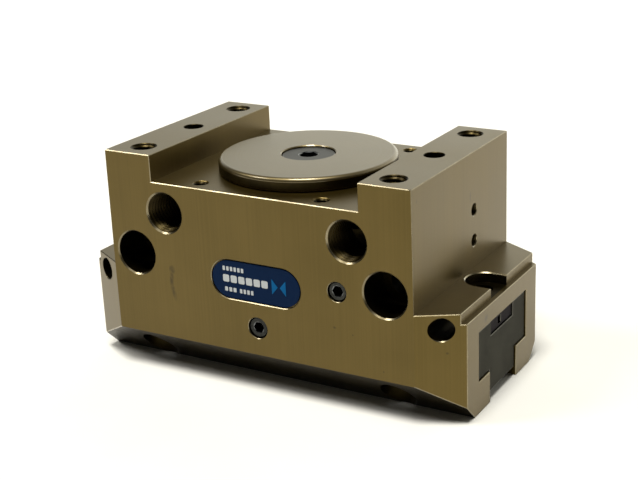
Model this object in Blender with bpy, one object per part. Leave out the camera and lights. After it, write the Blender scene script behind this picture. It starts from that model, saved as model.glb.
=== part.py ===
"""Two-jaw parallel pneumatic gripper.

A piston in the housing lifts a wedge hook, whose sloping T-flanges pull both base jaws towards the middle.
+X runs along the jaws' travel, +Z from the jaws to the mounting rails, and the origin is the middle of the
base. Dimensions are in millimetres, and solid() scales each finished shape to metres.
"""

import math

import bmesh
import bpy
from mathutils import Matrix, Vector

MM = 0.001
GAP = 0.3  # clearance between neighbouring pieces
OVERRUN = 5.0  # how far a cutter passes the face that it opens
LAP = 1.0  # how far a cutter reaches into a space that is already open
SEAL_GAP = 0.2  # between a seal and the wall that it runs against

# Housing block
HALF_LENGTH = 62.5
HALF_DEPTH = 32.0
END_HALF_DEPTH = 25.0  # at the end faces, beyond the slanted corners
BODY_HALF_LENGTH = 50.0
STEP_X = 61.0  # where the shoulder drops to the ledge
RAIL_INNER_X = 34.0
RAIL_TOP_Z = 68.0
FLOOR_Z = 60.0  # recess floor between the rails
SHOULDER_Z = 33.0
LEDGE_Z = 30.0
BASE_HALF_DEPTH = 20.0  # where the 45 degree chamfers start on the base

# Jaw guide
SLOT_HALF_WIDTH = 17.3
SLOT_LOW_Z = 9.5
SLOT_HIGH_Z = 24.5
MOUTH_HALF_WIDTH = 9.6
HOOK_RELIEF = (25.5, 8.4, 26.0)  # half length, half width and top of the pocket over the hook

# Cylinder
BORE_R = 25.0
BORE_FLOOR_Z = 31.0
ROD_R = 9.0
ROD_BORE_R = 9.3
ROD_GROOVE = (12.0, 28.2, 30.4)  # radius, low and high

# Threaded and plain holes: (radius, chamfer radius)
MOUNT_THREAD = (3.3, 3.9)
MOUNT_X = 41.25
MOUNT_Y = 24.75
MOUNT_COUNTERBORE = (5.2, 20.0)  # radius and height of the screw-head recess from below
DOWEL_HOLE = (3.0, 3.4)
DOWEL_DEPTH = 10.0
FLOOR_THREAD = (1.9, 2.5)
FLOOR_THREAD_XY = (20.0, 27.0)
FLOOR_THREAD_DEPTH = 8.0
PORT = (5.6, 6.2)
PORT_XZ = (30.2, 51.0)
PORT_DEPTH = 14.0
PORT_CHANNEL_R = 1.5
CHANNEL_MOUTHS = {1: (19.0, -15.0, 51.0), -1: (-19.0, -15.0, 32.6)}  # where each port meets the cylinder
SIDE_BORE = (6.6, 7.1)
SIDE_BORE_XZ = (41.5, 37.3)
SIDE_BORE_DEPTH = 12.0
SIDE_THROUGH_R = 4.25
END_THREAD = (1.6, 1.95)
END_THREAD_Y = 7.7
END_THREAD_Z = (50.6, 41.3)
END_THREAD_DEPTH = 4.5
SENSOR_BORE_R = 3.3
SENSOR_BORE_XZ = (56.4, 28.6)
SENSOR_BORE_REACH = 30.4
CAM_WINDOW_R = 3.1
CAM_WINDOW_X = 55.9
NOTCH_HALF_WIDTH = 5.65
NOTCH_X = 56.7

# Plug screws in the front face: (name, x, z, hole radius)
SET_SCREWS = (("set_screw_upper", 26.6, 35.9, 2.95), ("set_screw_lower", 0.0, 20.4, 3.2))
SET_SCREW_HOLE_DEPTH = 8.0
SET_SCREW_LENGTH = 6.0
SET_SCREW_RECESS = 0.8
SET_SCREW_EDGE = 0.3
SET_SCREW_SOCKET = (3.0, 3.0)  # across flats and depth
CROSS_BORE_R = 1.5
CROSS_BORE_DEPTH = {"set_screw_upper": 13.0, "set_screw_lower": 17.0}

# Nameplate
PLATE_HALF_LENGTH = 15.0
PLATE_RADIUS = 6.0
PLATE_Z = 34.0
PLATE_POCKET_DEPTH = 0.8
PLATE_THICKNESS = 0.3

# Cover and plug
COVER_R = 26.6
COVER_TOP_Z = 64.2
COVER_EDGE = 1.2  # size of the rounded rim
COVER_RIM_STEPS = 3
SKIRT_R = 24.7
SKIRT_LOW_Z = 53.3
COVER_GROOVE = (22.4, 55.6, 58.2)
PLUG_HEAD_R = 7.9
PLUG_SHANK_R = 6.0
PLUG_SEAT_Z = 60.5
PLUG_TOP_Z = 63.7
PLUG_LOW_Z = 54.0
PLUG_SOCKET = (5.1, 2.6)
PLUG_GROOVE = (4.8, 58.2, 60.2)
PLUG_EDGE = 0.3

# Piston
PISTON_R = 24.7
PISTON_LOW_Z = 31.5
PISTON_HIGH_Z = 40.0
PISTON_GROOVE = (21.8, 34.2, 37.4)
PISTON_LOW_EDGE = 0.6
PISTON_EDGE = 2.0  # top chamfer, which keeps the upper port open at full lift
PISTON_HOLE_R = 4.4
HEAD_SEAT_Z = 34.7
HEAD_ROOM = 0.5  # around the screw's head
SCREW_HEAD_R = 6.5
SCREW_SHANK_R = 4.1
SCREW_LOW_Z = 22.0
SCREW_TIP_ROOM = 1.5
SCREW_SOCKET = (5.0, 3.0)

# Wedge hook and jaws
HOOK_SLOPE = 0.8  # mm of jaw travel for each mm of piston lift
HOOK_LOW_Z = 3.4
HOOK_HIGH_Z = 12.9
HOOK_LOW_HALF_LENGTH = 10.5
HOOK_HALF_WIDTH = 7.6
NECK_HALF_WIDTH = 4.2
NECK_DEPTH = 2.4  # from the flank to the flange, square to the slope
FLANGE_DEPTH = 4.6  # from the flank to the flange's outside
SHANK_LOW_Z = 10.4
SHANK_HIGH_Z = 31.2
JAW_HALF_WIDTH = 17.0
STEM_HALF_WIDTH = 9.1
JAW_LOW_Z = 3.0
JAW_SHOULDER_Z = 9.8
JAW_HIGH_Z = 24.2
JAW_END_X = 62.0
FINGER_THREAD_X = (34.0, 54.0)
FINGER_THREAD = (2.5, 12.5)  # radius, and the height that it reaches
FINGER_CENTRING = (4.0, 5.0)

# Switch cam, in the pocket at the jaw's outer end
CAM_POCKET = (39.5, 8.0, 19.9)  # inner x, half width and floor
CAM_X = (40.0, 61.6)
CAM_Z = (20.2, 24.0)
CAM_HALF_WIDTH = 7.7
CAM_HEAD_R = 2.6
CAM_SHANK_R = 1.2
CAM_SCREW_Z = (14.8, 22.0, 23.7)  # tip, head seat and head top
CAM_SOCKET = (2.0, 1.0)
CAM_NOTCH = ((59.4, -2.0, 20.9), (66.0, 0.0, 23.2))

# Base cover
BASE_PLATE = (14.0, 16.5, 0.3, 2.6)  # half length, half width, low and high
BASE_SCREW_XY = (10.5, 13.2)
BASE_SCREW_HEAD_R = 2.7
BASE_SCREW_SHANK_R = 1.3
BASE_SCREW_Z = (0.5, 1.9, 7.2)  # head face, underside of the cone and tip
BASE_SCREW_TIP_ROOM = 0.8
BASE_SCREW_RIM = 0.1  # straight rim of the countersunk head
BASE_SCREW_SOCKET = (2.0, 1.1)

AXES = {"X": Vector((1, 0, 0)), "Y": Vector((0, 1, 0)), "Z": Vector((0, 0, 1))}


def clear_scene():
    for obj in list(bpy.data.objects):
        bpy.data.objects.remove(obj, do_unlink=True)


def make_material(name, colour, roughness, metallic):
    material = bpy.data.materials.new(name)
    material.use_nodes = True
    shader = material.node_tree.nodes["Principled BSDF"]
    shader.inputs["Base Color"].default_value = (*colour, 1.0)
    shader.inputs["Roughness"].default_value = roughness
    shader.inputs["Metallic"].default_value = metallic
    material.diffuse_color = (*colour, 1.0)
    return material


def solid(name, shape, material=None):
    """The shape, drawn in millimetres, as an object in metres."""
    bmesh.ops.recalc_face_normals(shape, faces=shape.faces)
    bmesh.ops.scale(shape, vec=(MM, MM, MM), verts=shape.verts)
    mesh = bpy.data.meshes.new(name)
    shape.to_mesh(mesh)
    shape.free()
    obj = bpy.data.objects.new(name, mesh)
    bpy.context.collection.objects.link(obj)
    if material:
        mesh.materials.append(material)
    mesh.shade_smooth()
    mesh.set_sharp_from_angle(angle=math.radians(32))
    return obj


def cut(target, label, shape, operation="DIFFERENCE"):
    """Takes the shape away from the target, or joins it, and keeps the shape as a hidden guide."""
    cutter = solid(f"{target.name}_{label}", shape)
    cutter.hide_render = True
    cutter.display_type = "WIRE"
    modifier = target.modifiers.new(label, "BOOLEAN")
    modifier.operation = operation
    modifier.object = cutter


def block(low, high):
    shape = bmesh.new()
    low, high = Vector(low), Vector(high)
    size = high - low
    matrix = Matrix.Translation((low + high) / 2) @ Matrix.Diagonal((*size, 1))
    bmesh.ops.create_cube(shape, size=1.0, matrix=matrix)
    return shape


def prism(outline, axis, low, high):
    """A flat outline extruded along an axis. Its points are the other two coordinates, in X, Y, Z order."""
    shape = bmesh.new()
    slot = "XYZ".index(axis)
    points = [list(point) for point in outline]
    for point in points:
        point.insert(slot, low)
    face = shape.faces.new([shape.verts.new(point) for point in points])
    grown = bmesh.ops.extrude_face_region(shape, geom=[face])
    moved = [item for item in grown["geom"] if isinstance(item, bmesh.types.BMVert)]
    bmesh.ops.translate(shape, vec=AXES[axis] * (high - low), verts=moved)
    return shape


def turned(profile, segments, centre=(0, 0, 0), axis=(0, 0, 1), ring=False):
    """A profile of (radius, distance along the axis) turned about that axis. A ring's profile is closed."""
    shape = bmesh.new()
    points = [shape.verts.new((radius, 0, along)) for radius, along in profile]
    ends = points[1:] + points[:1] if ring else points[1:]
    edges = [shape.edges.new(pair) for pair in zip(points, ends)]
    bmesh.ops.spin(
        shape, geom=points + edges, cent=(0, 0, 0), axis=(0, 0, 1), angle=math.tau, steps=segments
    )
    bmesh.ops.remove_doubles(shape, verts=shape.verts, dist=1e-4)
    turn = AXES["Z"].rotation_difference(Vector(axis).normalized()).to_matrix().to_4x4()
    bmesh.ops.transform(shape, matrix=Matrix.Translation(centre) @ turn, verts=shape.verts)
    return shape


def drill(steps, mouth, axis, segments=24, chamfer_r=None):
    """A hole's cutter, from its mouth inwards. Each step is a radius and the depth that it reaches."""
    first_r = steps[0][0]
    edge_r = chamfer_r or first_r
    profile = [(0, -OVERRUN), (edge_r, -OVERRUN), (edge_r, 0)]
    profile += [(first_r, edge_r - first_r)] if chamfer_r else []
    for radius, reach in steps:
        if radius != profile[-1][0]:
            profile.append((radius, profile[-1][1]))
        profile.append((radius, reach))
    profile.append((0, profile[-1][1]))
    return turned(profile, segments, mouth, axis)


def hexagon(across_flats):
    corner_r = across_flats / math.sqrt(3)
    return [(corner_r * math.cos(i * math.pi / 3), corner_r * math.sin(i * math.pi / 3)) for i in range(6)]


def hex_socket(across_flats, mouth, axis, depth):
    """A hexagon socket's cutter, from the mouth along the axis."""
    shape = prism(hexagon(across_flats), "Z", -1.0, depth)
    turn = AXES["Z"].rotation_difference(Vector(axis)).to_matrix().to_4x4()
    bmesh.ops.transform(shape, matrix=Matrix.Translation(mouth) @ turn, verts=shape.verts)
    return shape


def stadium(half_length, radius, steps=8):
    """A slot-shaped outline with round ends."""
    outline = []
    for side, start in ((1, -math.pi / 2), (-1, math.pi / 2)):
        centre = side * (half_length - radius)
        for i in range(steps + 1):
            angle = start + math.pi * i / steps
            outline.append((centre + radius * math.cos(angle), radius * math.sin(angle)))
    return outline


def half_depth(x):
    """The housing's half depth, which narrows over the slanted corners."""
    beyond = max(0.0, abs(x) - BODY_HALF_LENGTH)
    return HALF_DEPTH - beyond * (HALF_DEPTH - END_HALF_DEPTH) / (HALF_LENGTH - BODY_HALF_LENGTH)


def housing_block():
    """The milled outside: columns of different heights along X, with chamfers along the base's long edges."""
    half = [RAIL_INNER_X, BODY_HALF_LENGTH, STEP_X, HALF_LENGTH]
    stations = [-x for x in reversed(half)] + half
    tops = [LEDGE_Z, SHOULDER_Z, RAIL_TOP_Z, FLOOR_Z, RAIL_TOP_Z, SHOULDER_Z, LEDGE_Z]
    shape = bmesh.new()

    def face(points):
        shape.faces.new([shape.verts.new(point) for point in points])

    def edge_heights(i, top):
        """The heights up the vertical edge at a station: the chamfer's, a lower neighbour's and the top."""
        near = [tops[j] for j in (i - 1, i) if 0 <= j < len(tops)]
        return [half_depth(stations[i]) - BASE_HALF_DEPTH, *sorted({z for z in near if z < top}), top]

    for i, top in enumerate(tops):
        x0, x1 = stations[i], stations[i + 1]
        y0, y1 = half_depth(x0), half_depth(x1)
        face([(x0, -y0, top), (x1, -y1, top), (x1, y1, top), (x0, y0, top)])
        base = BASE_HALF_DEPTH
        face([(x0, -base, 0), (x0, base, 0), (x1, base, 0), (x1, -base, 0)])
        for side in (-1, 1):
            up = [(x0, side * y0, z) for z in edge_heights(i, top)]
            down = [(x1, side * y1, z) for z in reversed(edge_heights(i + 1, top))]
            face(up + down)
            face([(x0, side * base, 0), up[0], down[-1], (x1, side * base, 0)])
    for i, (low, high) in enumerate(zip(tops, tops[1:]), start=1):
        x, y = stations[i], half_depth(stations[i])
        face([(x, -y, low), (x, y, low), (x, y, high), (x, -y, high)])
    for x in (stations[0], stations[-1]):
        y = half_depth(x)
        half_section = [(BASE_HALF_DEPTH, 0), (y, y - BASE_HALF_DEPTH), (y, LEDGE_Z)]
        face([(x, y, z) for y, z in half_section] + [(x, -y, z) for y, z in reversed(half_section)])
    bmesh.ops.remove_doubles(shape, verts=shape.verts, dist=1e-4)
    bmesh.ops.recalc_face_normals(shape, faces=shape.faces)
    bmesh.ops.dissolve_limit(shape, angle_limit=math.radians(0.1), verts=shape.verts, edges=shape.edges)
    return shape


def cut_jaw_guide(housing):
    mouth, wide = MOUTH_HALF_WIDTH, SLOT_HALF_WIDTH
    half = [(mouth, -OVERRUN), (mouth, SLOT_LOW_Z), (wide, SLOT_LOW_Z), (wide, SLOT_HIGH_Z)]
    outline = half + [(-y, z) for y, z in reversed(half)]
    reach = HALF_LENGTH + OVERRUN
    cut(housing, "jaw_guide", prism(outline, "X", -reach, reach))
    length, width, top = HOOK_RELIEF
    cut(housing, "hook_relief", block((-length, -width, SLOT_LOW_Z + OVERRUN), (length, width, top)))
    length, width, low, high = BASE_PLATE
    pocket = block((-length - GAP, -width - GAP, -OVERRUN), (length + GAP, width + GAP, high + GAP))
    cut(housing, "base_plate_pocket", pocket)
    for i, (x, y) in enumerate(base_screw_places(), start=1):
        hole = [(BASE_SCREW_SHANK_R + GAP, BASE_SCREW_Z[2] + BASE_SCREW_TIP_ROOM)]
        cut(housing, f"base_screw_hole_{i}", drill(hole, (x, y, 0), (0, 0, 1), 12))


def cut_cylinder(housing):
    groove_r, groove_low, groove_high = ROD_GROOVE
    profile = [
        (0, SLOT_HIGH_Z - 3 * LAP),
        (ROD_BORE_R, SLOT_HIGH_Z - 3 * LAP),
        (ROD_BORE_R, groove_low),
        (groove_r, groove_low),
        (groove_r, groove_high),
        (ROD_BORE_R, groove_high),
        (ROD_BORE_R, BORE_FLOOR_Z),
        (BORE_R, BORE_FLOOR_Z),
        (BORE_R, FLOOR_Z + OVERRUN),
        (0, FLOOR_Z + OVERRUN),
    ]
    cut(housing, "cylinder", turned(profile, 48))


def cut_rail_holes(housing):
    down = (0, 0, -1)
    core_r, chamfer_r = MOUNT_THREAD
    head_r, head_z = MOUNT_COUNTERBORE
    mount_hole = [(core_r, RAIL_TOP_Z - head_z), (head_r, RAIL_TOP_Z + OVERRUN)]
    floor_hole = [(FLOOR_THREAD[0], FLOOR_THREAD_DEPTH)]
    dowel_hole = [(DOWEL_HOLE[0], DOWEL_DEPTH)]
    for sx in (-1, 1):
        for sy in (-1, 1):
            corner = "lr"[sx > 0] + "fb"[sy > 0]
            mouth = (sx * MOUNT_X, sy * MOUNT_Y, RAIL_TOP_Z)
            cut(housing, f"mount_hole_{corner}", drill(mount_hole, mouth, down, 24, chamfer_r))
            mouth = (sx * FLOOR_THREAD_XY[0], sy * FLOOR_THREAD_XY[1], FLOOR_Z)
            cut(housing, f"floor_hole_{corner}", drill(floor_hole, mouth, down, 16, FLOOR_THREAD[1]))
        mouth = (sx * MOUNT_X, 0, RAIL_TOP_Z)
        cut(housing, f"dowel_hole_{'lr'[sx > 0]}", drill(dowel_hole, mouth, down, 20, DOWEL_HOLE[1]))


def cut_front_holes(housing):
    inwards = (0, 1, 0)
    side_bore = [(SIDE_BORE[0], SIDE_BORE_DEPTH), (SIDE_THROUGH_R, 2 * HALF_DEPTH + OVERRUN)]
    for side in (-1, 1):
        hand = "lr"[side > 0]
        x, z = side * PORT_XZ[0], PORT_XZ[1]
        port = drill([(PORT[0], PORT_DEPTH)], (x, -HALF_DEPTH, z), inwards, 32, PORT[1])
        cut(housing, f"port_{hand}", port)
        start = Vector((x, PORT_DEPTH - HALF_DEPTH - 2 * LAP, z))
        along = Vector(CHANNEL_MOUTHS[side]) - start
        profile = [(0, 0), (PORT_CHANNEL_R, 0), (PORT_CHANNEL_R, along.length), (0, along.length)]
        cut(housing, f"air_channel_{hand}", turned(profile, 12, start, along))
        mouth = (side * SIDE_BORE_XZ[0], -HALF_DEPTH, SIDE_BORE_XZ[1])
        cut(housing, f"side_bore_{hand}", drill(side_bore, mouth, inwards, 32, SIDE_BORE[1]))
    for name, x, z, radius in SET_SCREWS:
        hole = [(radius, SET_SCREW_HOLE_DEPTH), (CROSS_BORE_R, CROSS_BORE_DEPTH[name])]
        cut(housing, name + "_hole", drill(hole, (x, -HALF_DEPTH, z), inwards, 20))
    outline = [(x, z + PLATE_Z) for x, z in stadium(PLATE_HALF_LENGTH, PLATE_RADIUS)]
    pocket = prism(outline, "Y", -HALF_DEPTH - OVERRUN, -HALF_DEPTH + PLATE_POCKET_DEPTH)
    cut(housing, "nameplate_pocket", pocket)


def window_outline(side, steps=12):
    """The notch around a cam window: a half circle that runs straight out past the ledge."""
    outline = []
    for i in range(steps + 1):
        angle = math.pi / 2 + math.pi * i / steps
        along = NOTCH_X + NOTCH_HALF_WIDTH * math.cos(angle)
        outline.append((side * along, NOTCH_HALF_WIDTH * math.sin(angle)))
    reach = side * (HALF_LENGTH + OVERRUN)
    return outline + [(reach, -NOTCH_HALF_WIDTH), (reach, NOTCH_HALF_WIDTH)]


def cut_end_holes(housing):
    for side in (-1, 1):
        hand = "lr"[side > 0]
        for i, z in enumerate(END_THREAD_Z, start=1):
            mouth = (side * BODY_HALF_LENGTH, side * END_THREAD_Y, z)
            hole = drill([(END_THREAD[0], END_THREAD_DEPTH)], mouth, (-side, 0, 0), 12, END_THREAD[1])
            cut(housing, f"end_thread_{hand}{i}", hole)
        cut(housing, f"window_notch_{hand}", prism(window_outline(side), "Z", LEDGE_Z, SHOULDER_Z + OVERRUN))
        window = [(CAM_WINDOW_R, SHOULDER_Z - SLOT_HIGH_Z + 2 * LAP)]
        mouth = (side * CAM_WINDOW_X, 0, SHOULDER_Z)
        cut(housing, f"cam_window_{hand}", drill(window, mouth, (0, 0, -1), 24))
        mouth = (side * SENSOR_BORE_XZ[0], -HALF_DEPTH, SENSOR_BORE_XZ[1])
        sensor = drill([(SENSOR_BORE_R, SENSOR_BORE_REACH)], mouth, (0, 1, 0), 24)
        cut(housing, f"sensor_bore_{hand}", sensor)


def make_housing(material):
    housing = solid("housing", housing_block(), material)
    cut_jaw_guide(housing)
    cut_cylinder(housing)
    cut_rail_holes(housing)
    cut_front_holes(housing)
    cut_end_holes(housing)
    return housing


def ring(name, inner_r, outer_r, low, high, segments, material):
    """A seal: a turned ring of square section."""
    profile = [(inner_r, low), (inner_r, high), (outer_r, high), (outer_r, low)]
    return solid(name, turned(profile, segments, ring=True), material)


def make_cover(materials):
    groove_r, groove_low, groove_high = COVER_GROOVE
    flange_low = FLOOR_Z + GAP
    rim = []
    for i in range(COVER_RIM_STEPS + 1):
        angle = math.pi / 2 * i / COVER_RIM_STEPS
        out, up = COVER_EDGE * math.cos(angle), COVER_EDGE * math.sin(angle)
        rim.append((COVER_R - COVER_EDGE + out, COVER_TOP_Z - COVER_EDGE + up))
    profile = [
        (PLUG_SHANK_R + GAP, SKIRT_LOW_Z),
        (SKIRT_R, SKIRT_LOW_Z),
        (SKIRT_R, groove_low),
        (groove_r, groove_low),
        (groove_r, groove_high),
        (SKIRT_R, groove_high),
        (SKIRT_R, flange_low),
        (COVER_R, flange_low),
        *rim,
        (PLUG_HEAD_R + GAP, COVER_TOP_Z),
        (PLUG_HEAD_R + GAP, PLUG_SEAT_Z),
        (PLUG_SHANK_R + GAP, PLUG_SEAT_Z),
    ]
    solid("cylinder_cover", turned(profile, 48, ring=True), materials["cover_aluminium"])
    outer_r = BORE_R - SEAL_GAP
    ring("cover_oring", groove_r + GAP, outer_r, groove_low + GAP, groove_high - GAP, 40, materials["rubber"])

    groove_r, groove_low, groove_high = PLUG_GROOVE
    profile = [
        (0, PLUG_LOW_Z),
        (PLUG_SHANK_R, PLUG_LOW_Z),
        (PLUG_SHANK_R, groove_low),
        (groove_r, groove_low),
        (groove_r, groove_high),
        (PLUG_SHANK_R, groove_high),
        (PLUG_SHANK_R, PLUG_SEAT_Z + GAP),
        (PLUG_HEAD_R, PLUG_SEAT_Z + GAP),
        (PLUG_HEAD_R, PLUG_TOP_Z - PLUG_EDGE),
        (PLUG_HEAD_R - PLUG_EDGE, PLUG_TOP_Z),
        (0, PLUG_TOP_Z),
    ]
    plug = solid("cover_plug", turned(profile, 32), materials["zinc_steel"])
    cut(plug, "socket", hex_socket(PLUG_SOCKET[0], (0, 0, PLUG_TOP_Z), (0, 0, -1), PLUG_SOCKET[1]))
    outer_r = PLUG_SHANK_R + GAP / 2
    ring_z = (groove_low + GAP, groove_high - GAP)
    ring("cover_plug_oring", groove_r + GAP, outer_r, *ring_z, 28, materials["rubber"])


def make_front_details(materials):
    for name, x, z, hole_r in SET_SCREWS:
        radius, length, edge = hole_r - GAP, SET_SCREW_LENGTH, SET_SCREW_EDGE
        profile = [(0, 0), (radius - edge, 0), (radius, edge), (radius, length), (0, length)]
        face = (x, SET_SCREW_RECESS - HALF_DEPTH, z)
        screw = solid(name, turned(profile, 20, face, (0, 1, 0)), materials["zinc_steel"])
        cut(screw, "socket", hex_socket(SET_SCREW_SOCKET[0], face, (0, 1, 0), SET_SCREW_SOCKET[1]))
    outline = [(x, z + PLATE_Z) for x, z in stadium(PLATE_HALF_LENGTH - GAP, PLATE_RADIUS - GAP)]
    back = PLATE_POCKET_DEPTH - GAP - HALF_DEPTH
    solid("nameplate", prism(outline, "Y", back - PLATE_THICKNESS, back), materials["nameplate_blue"])


def base_screw_places():
    return [(sx * BASE_SCREW_XY[0], sy * BASE_SCREW_XY[1]) for sy in (-1, 1) for sx in (-1, 1)]


def make_base_cover(materials):
    length, width, low, high = BASE_PLATE
    shape = block((-length, -width, low), (length, width, high))
    plate = solid("base_cover_plate", shape, materials["steel"])
    face_z, cone_z, tip_z = BASE_SCREW_Z
    head_r, shank_r = BASE_SCREW_HEAD_R, BASE_SCREW_SHANK_R
    hole = [
        (0, -LAP),
        (head_r + GAP, -LAP),
        (head_r + GAP, face_z),
        (shank_r + GAP, cone_z),
        (shank_r + GAP, high + LAP),
        (0, high + LAP),
    ]
    rim_z = face_z + BASE_SCREW_RIM
    screw = [(0, face_z), (head_r, face_z), (head_r, rim_z), (shank_r, cone_z), (shank_r, tip_z), (0, tip_z)]
    across_flats, socket_depth = BASE_SCREW_SOCKET
    for i, (x, y) in enumerate(base_screw_places(), start=1):
        cut(plate, f"screw_hole_{i}", turned(hole, 16, (x, y, 0)))
        piece = solid(f"base_cover_screw_{i}", turned(screw, 16, (x, y, 0)), materials["black_steel"])
        cut(piece, "socket", hex_socket(across_flats, (x, y, face_z), (0, 0, 1), socket_depth))


def ride_on(carrier, pieces):
    """Parents the pieces to an empty on their slide's axis, and leaves them where they are."""
    bpy.context.view_layer.update()
    for piece in pieces:
        piece.parent = carrier
        piece.matrix_parent_inverse = carrier.matrix_world.inverted()


def carrier_at(name, place):
    carrier = bpy.data.objects.new(name, None)
    bpy.context.collection.objects.link(carrier)
    carrier.location = Vector(place) * MM
    return carrier


def flank_x(z, depth=0.0):
    """Half length of the hook at a height, plus a depth square to its sloping flank."""
    return HOOK_LOW_HALF_LENGTH + HOOK_SLOPE * (z - HOOK_LOW_Z) + depth * math.hypot(1, HOOK_SLOPE)


def sloping_band(side, depth_in, depth_out, low_z, high_z, low_y, high_y):
    """A bar that follows the hook's flank, between two depths from it."""
    outline = [
        (side * flank_x(low_z, depth_in), low_z),
        (side * flank_x(low_z, depth_out), low_z),
        (side * flank_x(high_z, depth_out), high_z),
        (side * flank_x(high_z, depth_in), high_z),
    ]
    return prism(outline, "Y", low_y, high_y)


def make_hook(material):
    outline = [(side * flank_x(z, FLANGE_DEPTH), z) for side, z in ((-1, HOOK_LOW_Z), (1, HOOK_LOW_Z))]
    outline += [(side * flank_x(z, FLANGE_DEPTH), z) for side, z in ((1, HOOK_HIGH_Z), (-1, HOOK_HIGH_Z))]
    hook = solid("wedge_hook", prism(outline, "Y", -HOOK_HALF_WIDTH, HOOK_HALF_WIDTH), material)
    for side in (-1, 1):
        for edge in (-1, 1):
            low_y, high_y = sorted((edge * NECK_HALF_WIDTH, edge * (HOOK_HALF_WIDTH + LAP)))
            groove = sloping_band(side, 0, NECK_DEPTH, HOOK_LOW_Z - LAP, HOOK_HIGH_Z + LAP, low_y, high_y)
            cut(hook, f"groove_{'lr'[side > 0]}{'fb'[edge > 0]}", groove)
    shank = [(0, SHANK_LOW_Z), (ROD_R, SHANK_LOW_Z), (ROD_R, SHANK_HIGH_Z), (0, SHANK_HIGH_Z)]
    cut(hook, "shank", turned(shank, 32), "UNION")
    hole = [(PISTON_HOLE_R, SHANK_HIGH_Z - SCREW_LOW_Z + SCREW_TIP_ROOM)]
    cut(hook, "screw_hole", drill(hole, (0, 0, SHANK_HIGH_Z), (0, 0, -1)))
    return hook


def make_piston(materials):
    groove_r, groove_low, groove_high = PISTON_GROOVE
    profile = [
        (PISTON_HOLE_R, PISTON_LOW_Z),
        (PISTON_R - PISTON_LOW_EDGE, PISTON_LOW_Z),
        (PISTON_R, PISTON_LOW_Z + PISTON_LOW_EDGE),
        (PISTON_R, groove_low),
        (groove_r, groove_low),
        (groove_r, groove_high),
        (PISTON_R, groove_high),
        (PISTON_R, PISTON_HIGH_Z - PISTON_EDGE),
        (PISTON_R - PISTON_EDGE, PISTON_HIGH_Z),
        (SCREW_HEAD_R + HEAD_ROOM, PISTON_HIGH_Z),
        (SCREW_HEAD_R + HEAD_ROOM, HEAD_SEAT_Z),
        (PISTON_HOLE_R, HEAD_SEAT_Z),
    ]
    piston = solid("piston", turned(profile, 40, ring=True), materials["aluminium"])
    outer_r = BORE_R - SEAL_GAP
    seal_z = (groove_low + GAP, groove_high - GAP)
    seal = ring("piston_seal", groove_r + GAP, outer_r, *seal_z, 40, materials["rubber"])
    seat, top = HEAD_SEAT_Z + GAP, PISTON_HIGH_Z - GAP
    profile = [
        (0, SCREW_LOW_Z),
        (SCREW_SHANK_R, SCREW_LOW_Z),
        (SCREW_SHANK_R, seat),
        (SCREW_HEAD_R, seat),
        (SCREW_HEAD_R, top),
        (0, top),
    ]
    screw = solid("piston_screw", turned(profile, 24), materials["black_steel"])
    cut(screw, "socket", hex_socket(SCREW_SOCKET[0], (0, 0, top), (0, 0, -1), SCREW_SOCKET[1]))
    hook = make_hook(materials["steel"])
    carrier = carrier_at("piston_carrier", (0, 0, PISTON_LOW_Z))
    ride_on(carrier, [piston, seal, screw, hook])


def jaw_bar(side):
    """The jaw's T-section, cut off square outside and along the hook's slope inside."""
    half = [(STEM_HALF_WIDTH, JAW_LOW_Z), (STEM_HALF_WIDTH, JAW_SHOULDER_Z)]
    half += [(JAW_HALF_WIDTH, JAW_SHOULDER_Z), (JAW_HALF_WIDTH, JAW_HIGH_Z)]
    outline = half + [(-y, z) for y, z in reversed(half)]
    low, high = sorted((0.0, side * JAW_END_X))
    shape = prism(outline, "X", low, high)
    on_plane = Vector((side * flank_x(JAW_LOW_Z, GAP), 0, JAW_LOW_Z))
    outward = Vector((side, 0, -HOOK_SLOPE))
    everything = list(shape.verts) + list(shape.edges) + list(shape.faces)
    bmesh.ops.bisect_plane(shape, geom=everything, plane_co=on_plane, plane_no=outward, clear_inner=True)
    bmesh.ops.holes_fill(shape, edges=shape.edges, sides=0)
    return shape


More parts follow.
